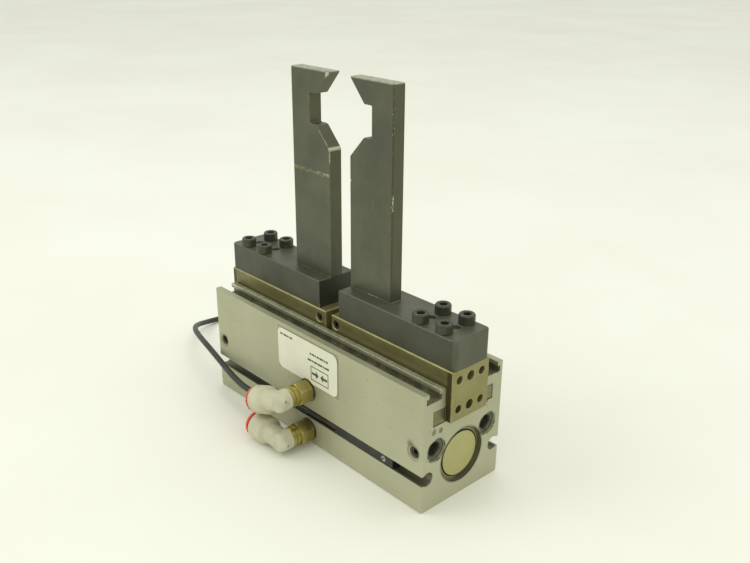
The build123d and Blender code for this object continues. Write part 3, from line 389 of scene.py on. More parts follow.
def hard_coat(name):
    """Olive-bronze hard coat on the jaws: pale where clean, brown and darker low down in patches,
    painted shade on the flanks.
    """
    s = Shader(name)
    broad = s.step(s.noise(28, 4, 0.6), 0.32, 0.7)
    brushed = s.noise(1100, 2, 0.6, stretch=(0.05, 1, 1))
    colour = s.mix(broad, (138, 134, 86), (154, 150, 102))
    colour = s.mix(s.step(brushed, 0.35, 0.8, 0.0, 0.25), colour, (108, 102, 60))
    along, aside, up = s.off_middle(0), s.off_middle(1), s.axis(2)
    # Painted shade on the jaws' flanks, stronger low down and where they stand out past the body's end.
    shade_past_end = s.step(along, JAW_END - 0.0048, JAW_END - 0.0028, 0.0, 0.9)
    shade = s.math("MAXIMUM", s.step(up, 0.0480, 0.0740, 0.75, 0.38), shade_past_end)
    colour = s.mix(s.times(s.over(aside, 0.01325), shade), colour, (62, 57, 34))
    wing = s.times(s.step(aside, 0.0138, 0.0145), s.step(up, 0.0555, 0.0560, 1.0, 0.0))
    colour = s.mix(wing, colour, (150, 150, 112))
    # Darker and browner towards the bottom, in patches, but not on the end faces.
    low_dark_patches = s.times(s.step(up, 0.0480, 0.0720, 0.65, 0.0), s.under(along, JAW_END - 0.0003),
                     s.step(s.noise(60, 4, 0.7), 0.2, 0.65))
    colour = s.mix(low_dark_patches, colour, (78, 68, 34))
    rough = s.step(s.noise(150, 3, 0.6), 0.3, 0.7, 0.32, 0.44)
    return s.finish(colour, rough, 0.6, s.bump(brushed, 0.00003, 0.5))


def black_oxide(name, dark, light, marks=None, rough_range=(0.36, 0.48)):
    """Black-oxide steel: cloudy grey-green, ground upwards, fine rubbed scratches, painted shade on
    narrow sides and block ends.
    """
    s = Shader(name)
    clouds = s.step(s.noise(26, 4, 0.6), 0.3, 0.7)
    ground = s.noise(700, 3, 0.6, stretch=(1.0, 1.0, 0.06))
    colour = s.mix(clouds, dark, light)
    colour = s.mix(s.step(ground, 0.35, 0.75, 0.0, 0.15), colour, tuple(c + 6 for c in light))
    blush = s.step(s.noise(55, 3, 0.6, offset=0.6), 0.56, 0.70, 0.0, 0.25)
    colour = s.mix(blush, colour, (dark[0] + 14, dark[1], dark[2] + 4))
    hairs = s.step(s.noise(160, 2, 0.5, stretch=(6.0, 1.0, 0.35), offset=0.2), 0.70, 0.74)
    colour = s.paint(colour, (150, 148, 128), hairs, 0.15)
    on_blade, on_block = s.over(s.axis(2), BLOCK_TOP + 0.0001), s.under(s.axis(2), BLOCK_TOP + 0.0001)
    # Painted shade on the blade's narrow sides, which face along X.
    narrow_side_shade = s.times(s.step(s.facing(0), 0.45, 0.75, 0.0, 0.5), on_blade)
    colour = s.mix(narrow_side_shade, colour, (80, 78, 50))
    sawn_top = s.times(s.step(s.axis(2), BLADE_TOP - 0.0008, BLADE_TOP - 0.0001),
                       s.step(s.noise(520, 4, 0.7), 0.3, 0.6, 0.45, 1.0))
    colour = s.mix(sawn_top, colour, (168, 170, 148))
    # The block's front and back faces are darker; painted shade on the block's inner end faces.
    foot = s.times(s.step(s.off_middle(1), 0.0124, 0.0127, 0.0, 0.45), on_block)
    inner_end_shade = s.times(s.step(s.off_middle(0), 0.0083, 0.0086, 0.8, 0.0), on_block)
    colour = s.mix(s.math("MAXIMUM", foot, inner_end_shade), colour, tuple(c * 0.6 for c in dark))
    metallic = 0.35
    if marks is not None:
        colour, bright = marks(s, colour)
        metallic = s.math("MULTIPLY_ADD", bright, 0.6, metallic)
    rough = s.step(s.noise(90, 3, 0.6), 0.3, 0.7, *rough_range)
    height = s.math("MULTIPLY_ADD", ground, 0.5, s.times(s.noise(2600, 2, 0.6), 0.5))
    return s.finish(colour, rough, metallic, s.bump(height, 0.00003, 0.6))


def left_finger_marks(s, colour):
    """Chipped tip, chipped notch corner and the rubbed line across the left blade."""
    tip = s.math("MAXIMUM", s.ragged((-0.0095, BLADE_FRONT - 0.0002, BLADE_TOP - 0.0018), 0.0017),
                 s.ragged((-0.0105, BLADE_FRONT - 0.0002, BLADE_TOP - 0.0036), 0.0009, offset=0.4))
    corner_x, corner_z = NOTCH_CORNER
    flecks = s.noise(1300, 4, 0.75, offset=0.35)
    across = s.times(s.step(s.from_axis(1, (corner_x, 0, corner_z)), 0.0005, 0.0015, 1.0, 0.0),
                     s.step(flecks, 0.36, 0.46))
    down = s.times(s.step(s.from_axis(2, (corner_x + 0.0001, BLADE_FRONT, 0)), 0.0003, 0.0007, 1.0, 0.0),
                   s.within(2, corner_z - 0.0072, corner_z, 0.0012), s.step(flecks, 0.46, 0.52))
    steepness, foot_z = 1.0654, 0.15426
    off_slope = s.math("MULTIPLY_ADD", s.axis(0), steepness, s.math("SUBTRACT", s.axis(2), foot_z))
    slope = s.times(s.step(s.math("ABSOLUTE", off_slope), 0.0006, 0.0010, 1.0, 0.0),
                    s.under(s.axis(1), BLADE_FRONT + 0.0004),
                    s.within(2, corner_z + 0.0003, corner_z + 0.0083, 0.001), s.step(flecks, 0.50, 0.56))
    rubbed_z = 0.1487
    line = s.times(s.step(s.apart(s.axis(2), rubbed_z), 0.0006, 0.0014, 1.0, 0.0),
                   s.step(s.noise(900, 4, 0.75, (0.45, 1, 1.0), 0.5), 0.42, 0.60),
                   s.under(s.axis(1), BLADE_FRONT + 0.0001))
    brown_to_grey = s.mix(s.step(s.axis(0), -0.0260, -0.0180), (152, 136, 84), (172, 176, 156))
    colour = s.paint(colour, brown_to_grey, line, 0.75)
    rust = s.near((-0.0090, BLADE_FRONT, BLADE_TOP - 0.0004), 0.0008, 0.0016)
    colour = s.paint(colour, (128, 84, 66), rust, 0.5)
    bright = s.math("MAXIMUM", tip, s.math("MAXIMUM", s.math("MAXIMUM", across, down), slope))
    return s.mix(bright, colour, (190, 190, 166)), bright


def right_finger_marks(s, colour):
    """Nicks down the outer front edge of the right blade, and one on its inner edge."""
    edge = s.step(s.from_axis(2, (0.0395, BLADE_FRONT + 0.0003, 0)), 0.00045, 0.0007, 1.0, 0.0)
    colour = s.paint(colour, (60, 61, 46), edge, 0.55)
    flecks = s.noise(1500, 4, 0.75, (1, 1, 0.4), 0.15)
    worn = s.times(s.within(2, 0.1405, 0.1490, 0.0015), 0.13)
    worn = s.math("MULTIPLY_ADD", s.step(s.axis(2), 0.1720, 0.1840), 0.05, worn)
    nicks = s.times(edge, s.step(s.math("ADD", flecks, worn), 0.64, 0.70))
    bright = s.math("MAXIMUM", nicks, s.ragged((0.0082, BLADE_FRONT - 0.0001, 0.1503), 0.0007))
    return s.mix(bright, colour, (186, 188, 162)), bright


def turned_metal(name, dark, light, rough=0.3, metallic=1.0, grain=1400, relief=0.00002, shade=None):
    """A plain machined metal with tool marks and slight tarnish; shade adds marks of its own, among them
    grime and painted shade.
    """
    s = Shader(name)
    tarnish = s.step(s.noise(90, 4, 0.65), 0.3, 0.7)
    marks = s.noise(grain, 2, 0.6)
    colour = s.mix(tarnish, dark, light)
    if shade is not None:
        colour = shade(s, colour)
    spread = s.step(s.noise(200, 3, 0.6), 0.3, 0.7, rough - 0.05, rough + 0.07)
    return s.finish(colour, spread, metallic, s.bump(marks, relief, 0.5))


def thread_shade_and_smears(s, colour):
    """Painted shade down the inserts' threads, and oily grime smeared over their flanges."""
    painted_thread_shade = s.step(s.off_middle(0), INSERT_FACE - 0.0014, INSERT_FACE - 0.0001, 1.0, 0.0)
    colour = s.paint(colour, (30, 28, 18), painted_thread_shade, 0.93)
    smear = s.step(s.noise(260, 3, 0.7, offset=0.8), 0.42, 0.62)
    return s.paint(colour, (62, 62, 46), smear, 0.6)


def ring_gaps(s, colour):
    """Dark lines along the retaining rings' middle, and painted shade at their inner rim next to the
    cap.
    """
    # The line at the inner rim is painted shade; the line along the middle is a plain dark line.
    gaps = s.math("MAXIMUM", s.ring(0, (0, 0, BORE_Z), 0.0130, 0.0002, 0.00015),
                  s.ring(0, (0, 0, BORE_Z), 0.0140, 0.0001, 0.0001))
    return s.paint(colour, (44, 38, 18), gaps, 0.9)


def tarnished_brass(s, colour):
    """Brown tarnish on the hexagons, next to the body."""
    near_body = s.step(s.axis(1), -0.0385, -0.0320, 0.0, 0.7)
    patchy = s.step(s.noise(60, 2, 0.5, offset=0.2), 0.35, 0.65, 0.5, 1.0)
    return s.mix(s.times(near_body, patchy), colour, (124, 106, 62))


def chromated_cap():
    """Yellow chromate: matt, slightly iridescent, faint turning rings round the bore axis, painted shade
    at its rim.
    """
    s = Shader("chromated_cap")
    away = s.from_axis(0, (0, 0, BORE_Z))
    rings_per_metre = 9000.0
    rings = s.math("SINE", s.times(away, rings_per_metre))
    bloom = s.step(s.noise(70, 3, 0.6), 0.3, 0.7)
    colour = s.mix(bloom, (174, 172, 114), (183, 181, 125))
    pinkish = s.step(s.noise(35, 2, 0.5, offset=0.4), 0.5, 0.75, 0.0, 0.35)
    colour = s.mix(pinkish, colour, (176, 164, 112))
    # Painted shade round the cap's rim, where the retaining ring meets it.
    colour = s.mix(s.step(away, 0.01215, 0.01235, 0.0, 0.9), colour, (46, 40, 18))
    return s.finish(colour, s.step(bloom, 0, 1, 0.42, 0.52), 0.55, s.bump(rings, 0.000006, 0.5))


def elbow_back(name):
    """The middle of an elbow's knob axis, and the direction that points away from its tube."""
    height, droop = PORTS[name]
    return Vector((0, KNOB_Y, height)), Vector((cos(radians(droop)), 0, sin(radians(droop))))


def gate_marks(s, colour):
    """The small grey scar that the mould's gate left on each elbow's knob."""
    for name in PORTS:
        centre, back = elbow_back(name)
        scar = s.near(centre + GATE_REACH * back, 0.0006, 0.0006)
        colour = s.paint(colour, (112, 110, 86), scar, 0.6)
    return colour


def moulded(name, dark, light, rough=0.38, subsurface=0.0, relief=0.00002, shade=None):
    """Moulded plastic: faint flow marks, a fine texture and dust; shade adds marks of its own."""
    s = Shader(name)
    flow = s.step(s.noise(110, 3, 0.6), 0.3, 0.7)
    texture = s.noise(2400, 3, 0.6)
    colour = s.mix(flow, dark, light)
    colour = s.paint(colour, tuple(c * 0.55 for c in dark), s.specks(420, 0.09, 0.5), 0.25)
    if shade is not None:
        colour = shade(s, colour)
    spread = s.step(s.noise(260, 3, 0.6), 0.3, 0.7, rough - 0.05, rough + 0.08)
    return s.finish(colour, spread, 0.0, s.bump(texture, relief, 0.6),
                    Subsurface_Weight=subsurface, Subsurface_Scale=0.002)


def label_face():
    """Printed film: off-white, faintly yellowed and stained."""
    s = Shader("label_face")
    yellow = s.step(s.noise(60, 3, 0.6), 0.35, 0.7)
    colour = s.mix(yellow, (221, 221, 200), (228, 228, 210))
    stains = s.step(s.noise(240, 4, 0.7, offset=0.9), 0.62, 0.72)
    colour = s.paint(colour, (188, 182, 150), stains, 0.25)
    grain = s.bump(s.noise(1800, 2, 0.5), 0.00001, 0.4)
    return s.finish(colour, s.step(yellow, 0, 1, 0.38, 0.46), 0.0, grain)


def pale_floor():
    """A plain pale table top."""
    s = Shader("pale_floor")
    clouds = s.step(s.noise(3, 4, 0.6), 0.3, 0.7)
    colour = s.mix(clouds, (240, 240, 229), (245, 246, 236))
    return s.finish(colour, 0.55, 0.0, s.bump(s.noise(300, 3, 0.6), 0.0001, 0.15))


# ------------------------------------------------------------------ mesh helpers
class Shape:
    """Vertices and faces gathered before they become one piece."""

    def __init__(self):
        self.vertices = []
        self.faces = []
        self.materials = []

    def turn(self, profile, place, steps=64, radius_at=None, material=0):
        """Turn an outline of (radius, height) about place's Z. It closes on itself, or at the axis."""
        rings = []
        for index, (radius, height) in enumerate(profile):
            ring = []
            for step in range(1 if radius == 0 else steps):
                angle = 2 * pi * step / steps
                reach = radius if radius_at is None else radius_at(index, radius, height, angle)
                ring.append(len(self.vertices))
                self.vertices.append(place @ Vector((reach * cos(angle), reach * sin(angle), height)))
            rings.append(ring)
        pairs = list(zip(rings, rings[1:]))
        if len(rings[0]) > 1 and len(rings[-1]) > 1:
            pairs.append((rings[-1], rings[0]))
        for first, second in pairs:
            for step in range(steps):
                corners = [first[step % len(first)], first[(step + 1) % steps % len(first)],
                           second[(step + 1) % steps % len(second)], second[step % len(second)]]
                self.faces.append(tuple(dict.fromkeys(corners)))
                self.materials.append(material)

    def box(self, low, high, material=0):
        start = len(self.vertices)
        for x in (low[0], high[0]):
            for y in (low[1], high[1]):
                for z in (low[2], high[2]):
                    self.vertices.append(Vector((x, y, z)))
        for face in ((0, 1, 3, 2), (4, 6, 7, 5), (0, 4, 5, 1), (2, 3, 7, 6), (0, 2, 6, 4), (1, 5, 7, 3)):
            self.faces.append(tuple(start + corner for corner in face))
            self.materials.append(material)

    def piece(self, name, body, materials, sharp=32):
        mesh = bpy.data.meshes.new(name)
        mesh.from_pydata(self.vertices, [], self.faces)
        for material in materials:
            mesh.materials.append(material)
        mesh.polygons.foreach_set("material_index", self.materials)
        mesh.update()
        work = bmesh.new()
        work.from_mesh(mesh)
        bmesh.ops.recalc_face_normals(work, faces=work.faces)
        work.to_mesh(mesh)
        work.free()
        mesh.shade_smooth()
        mesh.set_sharp_from_angle(angle=radians(sharp))
        obj = bpy.data.objects.new(name, mesh)
        scene.collection.objects.link(obj)
        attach(obj, body)
        return obj


def placed(origin, direction, side=(0, 0, 1)):
    """A frame whose Z points along direction."""
    z = Vector(direction).normalized()
    x = Vector(side) - Vector(side).dot(z) * z
    x = x.normalized() if x.length > 0.01 else z.orthogonal().normalized()
    turn = Matrix((x, z.cross(x), z)).transposed().to_4x4()
    return Matrix.Translation(Vector(origin)) @ turn


def hexagon(flats, angle):
    """Distance from a hexagon's centre to its side, at an angle."""
    return flats / 2 / cos((angle % (pi / 3)) - pi / 6)


def soft_edges(node, materials, width, segments=2, angle=38):
    """Give a CAD node its material, and break its edges with a small bevel in an edge material."""
    obj = nodes[node]
    obj.data.materials.clear()
    for material in materials:
        obj.data.materials.append(material)
    weld = obj.modifiers.new("weld", "WELD")
    weld.merge_threshold = 0.000001
    planar = obj.modifiers.new("planar", "DECIMATE")
    planar.decimate_type = "DISSOLVE"
    planar.angle_limit = radians(0.5)
    bevel = obj.modifiers.new("bevel", "BEVEL")
    bevel.width = width
    bevel.segments = segments
    bevel.limit_method = "ANGLE"
    bevel.angle_limit = radians(angle)
    bevel.material = len(materials) - 1
    bevel.miter_outer = "MITER_ARC"
    bevel.harden_normals = True
    return obj


# ------------------------------------------------------------------ pieces made here
FINGER_SCREW_X, FINGER_SCREW_STEP = 0.0732, 0.008

# The cable's route, repeated from the CAD source: the control points of a smooth line.
CABLE_RADIUS = 0.0018
CABLE_ROUTE = (
    (22.8, -26.4, 18.8), (6.6, -26.4, 18.8), (-12.0, -28.0, 18.4), (-28.0, -33.4, 17.9),
    (-44.6, -38.6, 17.6), (-63.5, -36.6, 18.6), (-80.5, -33.2, 19.8), (-98.0, -30.2, 21.8),
    (-120.0, -24.6, 20.8), (-138.5, -17.4, 17.0), (-153.0, -8.4, 12.2), (-164.5, 2.4, 6.4),
    (-171.0, 15.0, 2.6), (-170.0, 30.0, 1.9), (-159.0, 42.0, 1.9), (-142.0, 49.0, 1.9),
    (-124.0, 51.4, 2.7), (-109.0, 51.8, 5.0), (-98.0, 51.8, 5.0),
)


def make_cable(material):
    line = bpy.data.curves.new("sensor_lead", "CURVE")
    line.dimensions = "3D"
    spline = line.splines.new("NURBS")
    spline.points.add(len(CABLE_ROUTE) - 1)
    for point, place in zip(spline.points, CABLE_ROUTE):
        point.co = (*(MM * value for value in place), 1.0)
    spline.order_u = 3
    spline.use_endpoint_u = True
    spline.resolution_u = 12
    line.bevel_depth = CABLE_RADIUS
    line.bevel_resolution = 7
    line.use_fill_caps = True
    line.materials.append(material)
    cable = bpy.data.objects.new("sensor_lead", line)
    scene.collection.objects.link(cable)
    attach(cable, "housing")
    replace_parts(cable, "sensor_cable")


def cap_screw(shape, x, y):
    """Socket cap screw: straight-knurled head, rounded rim, hexagon socket with a coned floor."""
    head, height, shank, reach = 0.00425, 0.005, 0.0025, -0.0268
    socket, depth, knurls, cut = 0.004, 0.0026, 36, 0.00011
    outline = [(0, reach), (shank, reach), (shank, 0), (head - 0.0002, 0), (head, 0.0002)]
    first_knurl = len(outline)
    outline += [(head, 0.0005), (head, 0.0040)]
    last_knurl = len(outline) - 1
    outline += [(head, 0.0042), (head - 0.0002, 0.0047), (head - 0.00055, height),
                (socket * 0.66, height)]
    first_flat = len(outline)
    outline += [(socket, height - 0.0003), (socket, height - depth), (0, height - depth - 0.0008)]

    def reach_at(index, radius, at, angle):
        if first_knurl <= index <= last_knurl:
            return radius - cut * abs(1 - 2 * ((angle * knurls / (2 * pi)) % 1))
        if first_flat <= index < len(outline) - 1:
            return hexagon(socket, angle)
        return radius

    shape.turn(outline, Matrix.Translation((x, y, BLOCK_TOP)), steps=144, radius_at=reach_at)


def make_finger_screws(material):
    for name, way in (("right", 1), ("left", -1)):
        shape = Shape()
        for along in (-1, 1):
            for across in (-1, 1):
                cap_screw(shape, way * (FINGER_SCREW_X + along * FINGER_SCREW_STEP),
                          across * FINGER_SCREW_STEP)
        body = f"{name}_jaw_slide_body"
        screws = shape.piece(f"{name}_cap_screws", body, [material])
        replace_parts(screws, f"{name}_finger_screws")


def make_end_inserts(material):
    """Flanged steel inserts with a real helical thread in each bore."""
    flange, flange_depth, body, length = 0.00615, 0.002, 0.0043, 0.0088
    minor, thread_depth, pitch, countersink = 0.0034, 0.0005, 0.00125, 0.0009
    rows_per_turn = 10
    rows = int((length - countersink) / pitch * rows_per_turn)
    outline = [(minor + countersink, 0), (flange - 0.0002, 0), (flange, -0.0002),
               (flange, -flange_depth), (body, -flange_depth), (body, -length)]
    first_row = len(outline)
    outline += [(minor, -length + row * pitch / rows_per_turn) for row in range(rows + 1)]

    def thread(index, radius, at, angle):
        if index < first_row:
            return radius
        phase = (at / pitch - angle / (2 * pi)) % 1
        return radius + thread_depth * (1 - abs(1 - 2 * phase))

    shape = Shape()
    for end in (-1, 1):
        for y in (-INSERT_Y, INSERT_Y):
            shape.turn(outline, placed((end * INSERT_FACE, y, INSERT_Z), (end, 0, 0)), 60, thread)
    inserts = shape.piece("threaded_inserts", "housing", [material])
    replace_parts(inserts, "end_inserts")


def make_retaining_rings(material):
    """Two-turn spiral retaining rings, with the step where one turn crosses to the next."""
    inner, outer, turn_thick, lift, seat = 0.01287, 0.01522, 0.0006, 0.00065, 0.0861
    ramp, sections = 0.32, 200
    shape = Shape()
    for end in (-1, 1):
        start = len(shape.vertices)
        for section in range(sections + 1):
            angle = ramp + (4 * pi - 2 * ramp) * section / sections
            share = min(1, max(0, (angle - 2 * pi + ramp) / (2 * ramp)))
            low = seat + lift * share * share * (3 - 2 * share)
            high = low + turn_thick
            for radius, x in ((inner, low), (outer, low), (outer, high), (inner, high)):
                y, z = radius * sin(angle), BORE_Z + radius * cos(angle)
                shape.vertices.append(Vector((end * x, y, z)))
        for section in range(sections):
            here, there = start + 4 * section, start + 4 * section + 4
            for corner in range(4):
                after = (corner + 1) % 4
                shape.faces.append((here + corner, here + after, there + after, there + corner))
        last = start + 4 * sections
        shape.faces.append((start, start + 1, start + 2, start + 3))
        shape.faces.append((last + 3, last + 2, last + 1, last))
    shape.materials = [0] * len(shape.faces)
    rings = shape.piece("spiral_rings", "housing", [material])
    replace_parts(rings, "retaining_rings")


def make_port_stems(material):
    """Brass stems: chamfered hexagon, swivel collar with its groove, and the journal in the elbow."""
    flats, hex_start, hex_end, cone_start, cone_slope = 0.012, 0.0293, 0.0377, 0.0061, 1.73
    thread_start, neck, thread, hole = 0.0200, 0.0051, 0.0048, 0.0024
    rows, row_gap, past_corners = 7, 0.0001, 0.007
    for name, (height, _) in PORTS.items():
        hex_rows = [hex_start + row_gap * row for row in range(rows)]
        hex_rows += [hex_end - row_gap * row for row in reversed(range(rows))]
        outline = [(hole, thread_start), (thread, thread_start), (thread, FACE_Y), (neck, FACE_Y),
                   (neck, hex_start)]
        first_hex = len(outline)
        outline += [(past_corners, row) for row in hex_rows]
        last_hex = len(outline) - 1
        outline += [(MM * radius, MM * from_middle) for radius, from_middle in (
            (5.1, 37.7), (5.1, 39.0), (5.6, 39.0), (5.8, 39.2), (5.8, 40.6), (5.3, 40.8),
            (5.3, 41.3), (5.8, 41.5), (5.8, 42.8), (5.6, 43.0), (4.07, 43.0), (4.07, 44.2),
            (3.1, 44.2), (3.1, 45.5), (4.07, 45.5), (4.07, 46.2), (3.9, 46.4), (2.4, 46.4))]

        def reach_at(index, radius, at, angle):
            if not first_hex <= index <= last_hex:
                return radius
            rise = min(at - hex_start, hex_end - at)
            return min(hexagon(flats, angle), cone_start + cone_slope * rise)

        shape = Shape()
        shape.turn(outline, placed((0, 0, height), (0, -1, 0)), 96, reach_at)
        stem = shape.piece(f"{name}_brass_stem", "housing", [material])
        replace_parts(stem, f"{name}_port_stem")


def make_elbows(material):
    """The elbows as moulded: rounded over, with a low knob and its gate scar behind the tube."""
    voxel, outside, knob_radius, knob_height = 0.0002, 0.0048, 0.0036, 0.0007
    scar_radius, scar_depth = 0.0009, 0.0006
    for name in PORTS:
        centre, back = elbow_back(name)
        source = nodes[f"{name}_elbow"]
        elbow = bpy.data.objects.new(f"{name}_moulded_elbow", source.data.copy())
        elbow.matrix_world = source.matrix_world.copy()
        scene.collection.objects.link(elbow)
        remesh = elbow.modifiers.new("remesh", "REMESH")
        remesh.mode = "VOXEL"
        remesh.voxel_size = voxel
        smooth = elbow.modifiers.new("smooth", "SMOOTH")
        smooth.factor = 0.5
        smooth.iterations = 2
        bpy.context.view_layer.update()
        evaluated = elbow.evaluated_get(bpy.context.evaluated_depsgraph_get())
        made = bpy.data.meshes.new_from_object(evaluated)
        elbow.modifiers.clear()
        elbow.data = made
        to_world, to_mesh = elbow.matrix_world.copy(), elbow.matrix_world.inverted()
        for vertex in made.vertices:
            place = to_world @ vertex.co
            along = (place - centre).dot(back)
            away = (place - centre - along * back).length
            if along > outside and away < knob_radius:
                lift = knob_height * (1 - (away / knob_radius) ** 2) ** 2
                lift -= scar_depth * max(0, 1 - (away / scar_radius) ** 2)
                vertex.co = to_mesh @ (place + lift * back)
        made.materials.clear()
        made.materials.append(material)
        made.shade_smooth()
        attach(elbow, f"{name}_elbow_body")
        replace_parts(elbow, f"{name}_elbow")


def make_release_rings(material):
    """Collet release rings: a domed flange with finger notches on its rim."""
    notches, cut = 20, 0.00018
    for name, (height, droop) in PORTS.items():
        lean = radians(droop)
        place = placed((0, ELBOW_Y, height), (-cos(lean), 0, -sin(lean)))
        outline = [(MM * radius, MM * from_stem) for radius, from_stem in (
            (4.12, 17.4), (5.1, 17.4), (5.3, 17.6), (5.3, 21.2), (6.4, 21.2), (6.4, 23.7),
            (7.45, 23.7), (7.6, 23.85), (7.6, 24.6), (7.5, 24.95), (7.2, 25.2), (5.2, 25.2),
            (4.6, 25.05), (4.3, 24.8), (4.12, 24.3))]
        first_rim, last_rim = 7, 9

        def reach_at(index, radius, at, angle):
            if first_rim <= index <= last_rim:
                return radius - cut * (1 + cos(notches * angle)) / 2
            return radius

        shape = Shape()
        shape.turn(outline, place, 160, reach_at)
        body = f"{name}_release_body"
        ring = shape.piece(f"{name}_collet_ring", body, [material])
        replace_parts(ring, f"{name}_release_ring")


def make_plug_ring(material):
    """Knurled coupling ring of the lead's plug."""
    radius, bore, start, length, knurls, cut = 0.0050, 0.0036, 0.015, 0.012, 30, 0.0003
    rim = radius - 0.0004
    rows = [(bore, 0), (radius - 0.0006, 0), (radius, 0.0006), (radius, 0.0012), (radius, 0.0088),
            (rim, 0.0094), (rim, length - 0.0004), (rim - 0.0004, length), (bore, length)]
    knurled_rows = (3, 4)

    def reach_at(index, reach, at, angle):
        return reach - cut * (1 + cos(knurls * angle)) / 2 if index in knurled_rows else reach

    shape = Shape()
    cable_end = [MM * value for value in CABLE_ROUTE[-1]]
    place = placed(cable_end, (1, 0, 0)) @ Matrix.Translation((0, 0, start))
    shape.turn(rows, place, 180, reach_at)
    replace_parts(shape.piece("plug_ring", "housing", [material]), "plug_nut")


def make_label_print(ink):
    """Generic print on the label: two facing arrows in a frame, and plain bars for writing."""
    face, depth = -0.02903, 0.00004
    shape = Shape()

    def bar(x, z, width, height):
        shape.box((x, face - depth, z), (x + width, face + depth, z + height))

    bar_height, bar_gap = 0.0011, 0.00055
    for start_x, z, widths in ((-23.4, 59.6, (1.6, 0.7, 2.2, 1.1, 0.6, 1.9)),
                               (3.0, 56.6, (1.2, 2.4, 0.8, 1.7, 2.9, 1.1, 2.0)),
                               (1.0, 52.6, (3.2, 1.2, 2.6, 4.0, 1.0, 3.4))):
        x = MM * start_x
        for width in widths:
            bar(x, MM * z, MM * width, bar_height)
            x += MM * width + bar_gap
    left, right, low, high, rule = 0.0035, 0.0185, 0.0415, 0.0500, 0.0005
    bar(left, low, right - left, rule)
    bar(left, high - rule, right - left, rule)
    bar(left, low + rule, rule, high - low - 2 * rule)
    bar(right - rule, low + rule, rule, high - low - 2 * rule)
    middle, centre = (low + high) / 2, (left + right) / 2
    tip_gap, head, half_head, shaft, half_shaft = 0.0007, 0.0024, 0.0022, 0.0036, 0.0007
    for way in (-1, 1):
        tip = centre + way * tip_gap
        shaft_start = tip + way * half_head
        bar(min(shaft_start, shaft_start + way * shaft), middle - half_shaft, shaft, 2 * half_shaft)
        start = len(shape.vertices)
        barb = tip + way * head
        for y in (face - depth, face + depth):
            for x, z in ((tip, middle), (barb, middle + half_head), (barb, middle - half_head)):
                shape.vertices.append(Vector((x, y, z)))
        for face_corners in ((0, 1, 2), (5, 4, 3), (0, 3, 4, 1), (1, 4, 5, 2), (2, 5, 3, 0)):
            shape.faces.append(tuple(start + corner for corner in face_corners))
            shape.materials.append(0)
    shape.piece("label_print", "housing", [ink])


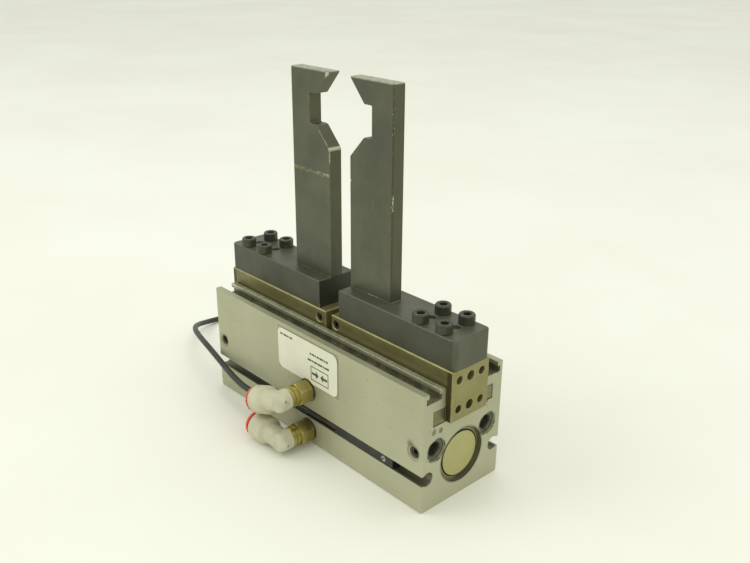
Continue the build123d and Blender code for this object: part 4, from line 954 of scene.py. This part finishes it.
# ------------------------------------------------------------------ dress the frame
def dress():
    body = anodised_body()
    body_edge = bare_edge("anodised_body_edge", (226, 225, 205), (178, 177, 152), 300, 0.3, 0.62, 0.9)
    jaw = hard_coat("jaw_steel")
    jaw_edge = bare_edge("jaw_steel_edge", (196, 190, 150), (138, 130, 84), 260, 0.42, 0.62)
    oxide_edge = bare_edge("finger_steel_edge", (184, 182, 160), (92, 93, 78), 210, 0.47, 0.63)
    right_steel = black_oxide("finger_steel", (75, 77, 62), (91, 94, 75), marks=right_finger_marks)
    left_steel = black_oxide("left_finger_steel", (75, 77, 62), (91, 94, 75), marks=left_finger_marks)
    screw_steel = black_oxide("black_steel", (52, 53, 46), (68, 69, 60), rough_range=(0.34, 0.46))
    ground = turned_metal("bright_steel", (150, 148, 136), (182, 180, 168), 0.26)
    ring = turned_metal("spring_steel", (132, 128, 98), (164, 160, 126), 0.34, 0.9, shade=ring_gaps)
    insert = turned_metal("insert_steel", (98, 99, 80), (126, 126, 104), 0.42, 0.6, shade=thread_shade_and_smears)
    plug_steel = turned_metal("passage_plug_steel", (120, 120, 90), (140, 140, 106), 0.42, 0.6)
    brass = turned_metal("brass", (172, 160, 98), (188, 176, 110), 0.33, 0.9, 3000, 0.000004,
                         tarnished_brass)
    nickel = turned_metal("nickel", (156, 154, 144), (190, 188, 178), 0.24)
    piston = turned_metal("piston_aluminium", (168, 168, 164), (190, 190, 186), 0.3)
    bronze = turned_metal("bush_bronze", (120, 92, 52), (150, 116, 68), 0.42)
    pins = turned_metal("contact_brass", (176, 146, 80), (206, 174, 104), 0.25)
    cap = chromated_cap()
    white = moulded("elbow_plastic", (188, 187, 158), (200, 199, 172), 0.40, 0.1, 0.00001, gate_marks)
    washer = moulded("sealing_washer", (40, 34, 24), (54, 46, 32), 0.5)
    # Painted shade: the label's bevelled edges are darker than its film.
    label_edge_shade = moulded("label_edge_shade", (132, 132, 108), (150, 150, 126), 0.5)
    orange = moulded("release_plastic", (206, 74, 36), (226, 94, 50), 0.36, 0.15)
    rubber = moulded("seal_rubber", (26, 26, 25), (36, 36, 34), 0.6)
    magnet = moulded("magnet", (40, 40, 40), (52, 52, 50), 0.6)
    ptfe = moulded("wear_ring", (70, 58, 46), (86, 72, 58), 0.5)
    sensor = moulded("sensor_plastic", (24, 24, 26), (34, 34, 36), 0.42)
    jacket = moulded("cable_jacket", (38, 39, 33), (48, 49, 42), 0.46, relief=0.00003)
    plug = moulded("plug_plastic", (30, 30, 30), (40, 40, 39), 0.45)
    film = label_face()
    ink = moulded("label_ink", (66, 68, 58), (84, 86, 72), 0.45)

    soft_edges("body", [body, body_edge], 0.00022)
    for side, steel in (("right", right_steel), ("left", left_steel)):
        soft_edges(f"{side}_jaw", [jaw, jaw_edge], 0.00018)
        soft_edges(f"{side}_finger", [steel, oxide_edge], 0.00035, angle=50)
        soft_edges(f"{side}_finger_dowels", [screw_steel], 0.0001)
        soft_edges(f"{side}_jaw_set_screws", [screw_steel], 0.00008)
        soft_edges(f"{side}_rack", [ground], 0.00008)
        soft_edges(f"{side}_rack_screws", [screw_steel], 0.00008)
    plain = {
        "end_caps": cap, "end_cap_seals": rubber, "piston_bumpers": rubber,
        "passage_plugs": plug_steel, "side_set_screw": screw_steel, "port_washers": washer,
        "pinion_axle": ground, "pinion_clip": screw_steel, "thrust_washer": bronze,
        "pinion_bush": bronze, "pinion": ground, "position_sensor": sensor,
        "sensor_clamp_screw": nickel, "plug_body": plug, "plug_pins": pins,
        "piston": piston, "piston_magnet": magnet, "drive_pin": ground,
    }
    for node, material in plain.items():
        soft_edges(node, [material], 0.00012)
    soft_edges("label_plate", [film, label_edge_shade], 0.00015, 1)
    smooth = {"piston_seals": rubber, "piston_wear_rings": ptfe}
    for name in PORTS:
        smooth.update({f"{name}_stem_seal": rubber, f"{name}_tube_seal": rubber,
                       f"{name}_grip_ring": nickel})
    for node, material in smooth.items():
        nodes[node].data.materials.clear()
        nodes[node].data.materials.append(material)

    make_plug_ring(nickel)
    make_cable(jacket)
    make_finger_screws(screw_steel)
    make_end_inserts(insert)
    make_retaining_rings(ring)
    make_port_stems(brass)
    make_release_rings(orange)
    make_elbows(white)
    make_label_print(ink)


def light_and_floor():
    floor = bpy.data.objects.new("floor", bpy.data.meshes.new("floor"))
    half = 4.0
    corners = [(-half, -half, 0), (half, -half, 0), (half, half, 0), (-half, half, 0)]
    floor.data.from_pydata(corners, [], [(0, 1, 2, 3)])
    floor.data.materials.append(pale_floor())
    scene.collection.objects.link(floor)
    world = bpy.data.worlds.new("studio")
    world.use_nodes = True
    background = world.node_tree.nodes["Background"]
    background.inputs["Color"].default_value = (0.945, 0.952, 0.885, 1.0)
    background.inputs["Strength"].default_value = 0.86
    scene.world = world
    middle = (0, 0, 0.08)
    area_light("key", (-0.9, -1.1, 1.5), middle, size=1.1, watts=6.6, tint=(1.0, 0.99, 0.93))
    area_light("fill", (1.3, -0.7, 1.0), middle, size=1.4, watts=1.9, tint=(1.0, 1.0, 0.95))
    area_light("top", (0.1, 0.3, 1.7), middle, size=1.2, watts=5, tint=(1.0, 1.0, 0.96))
    scene.view_settings.view_transform = "Standard"


place_camera()
light_and_floor()
dress()
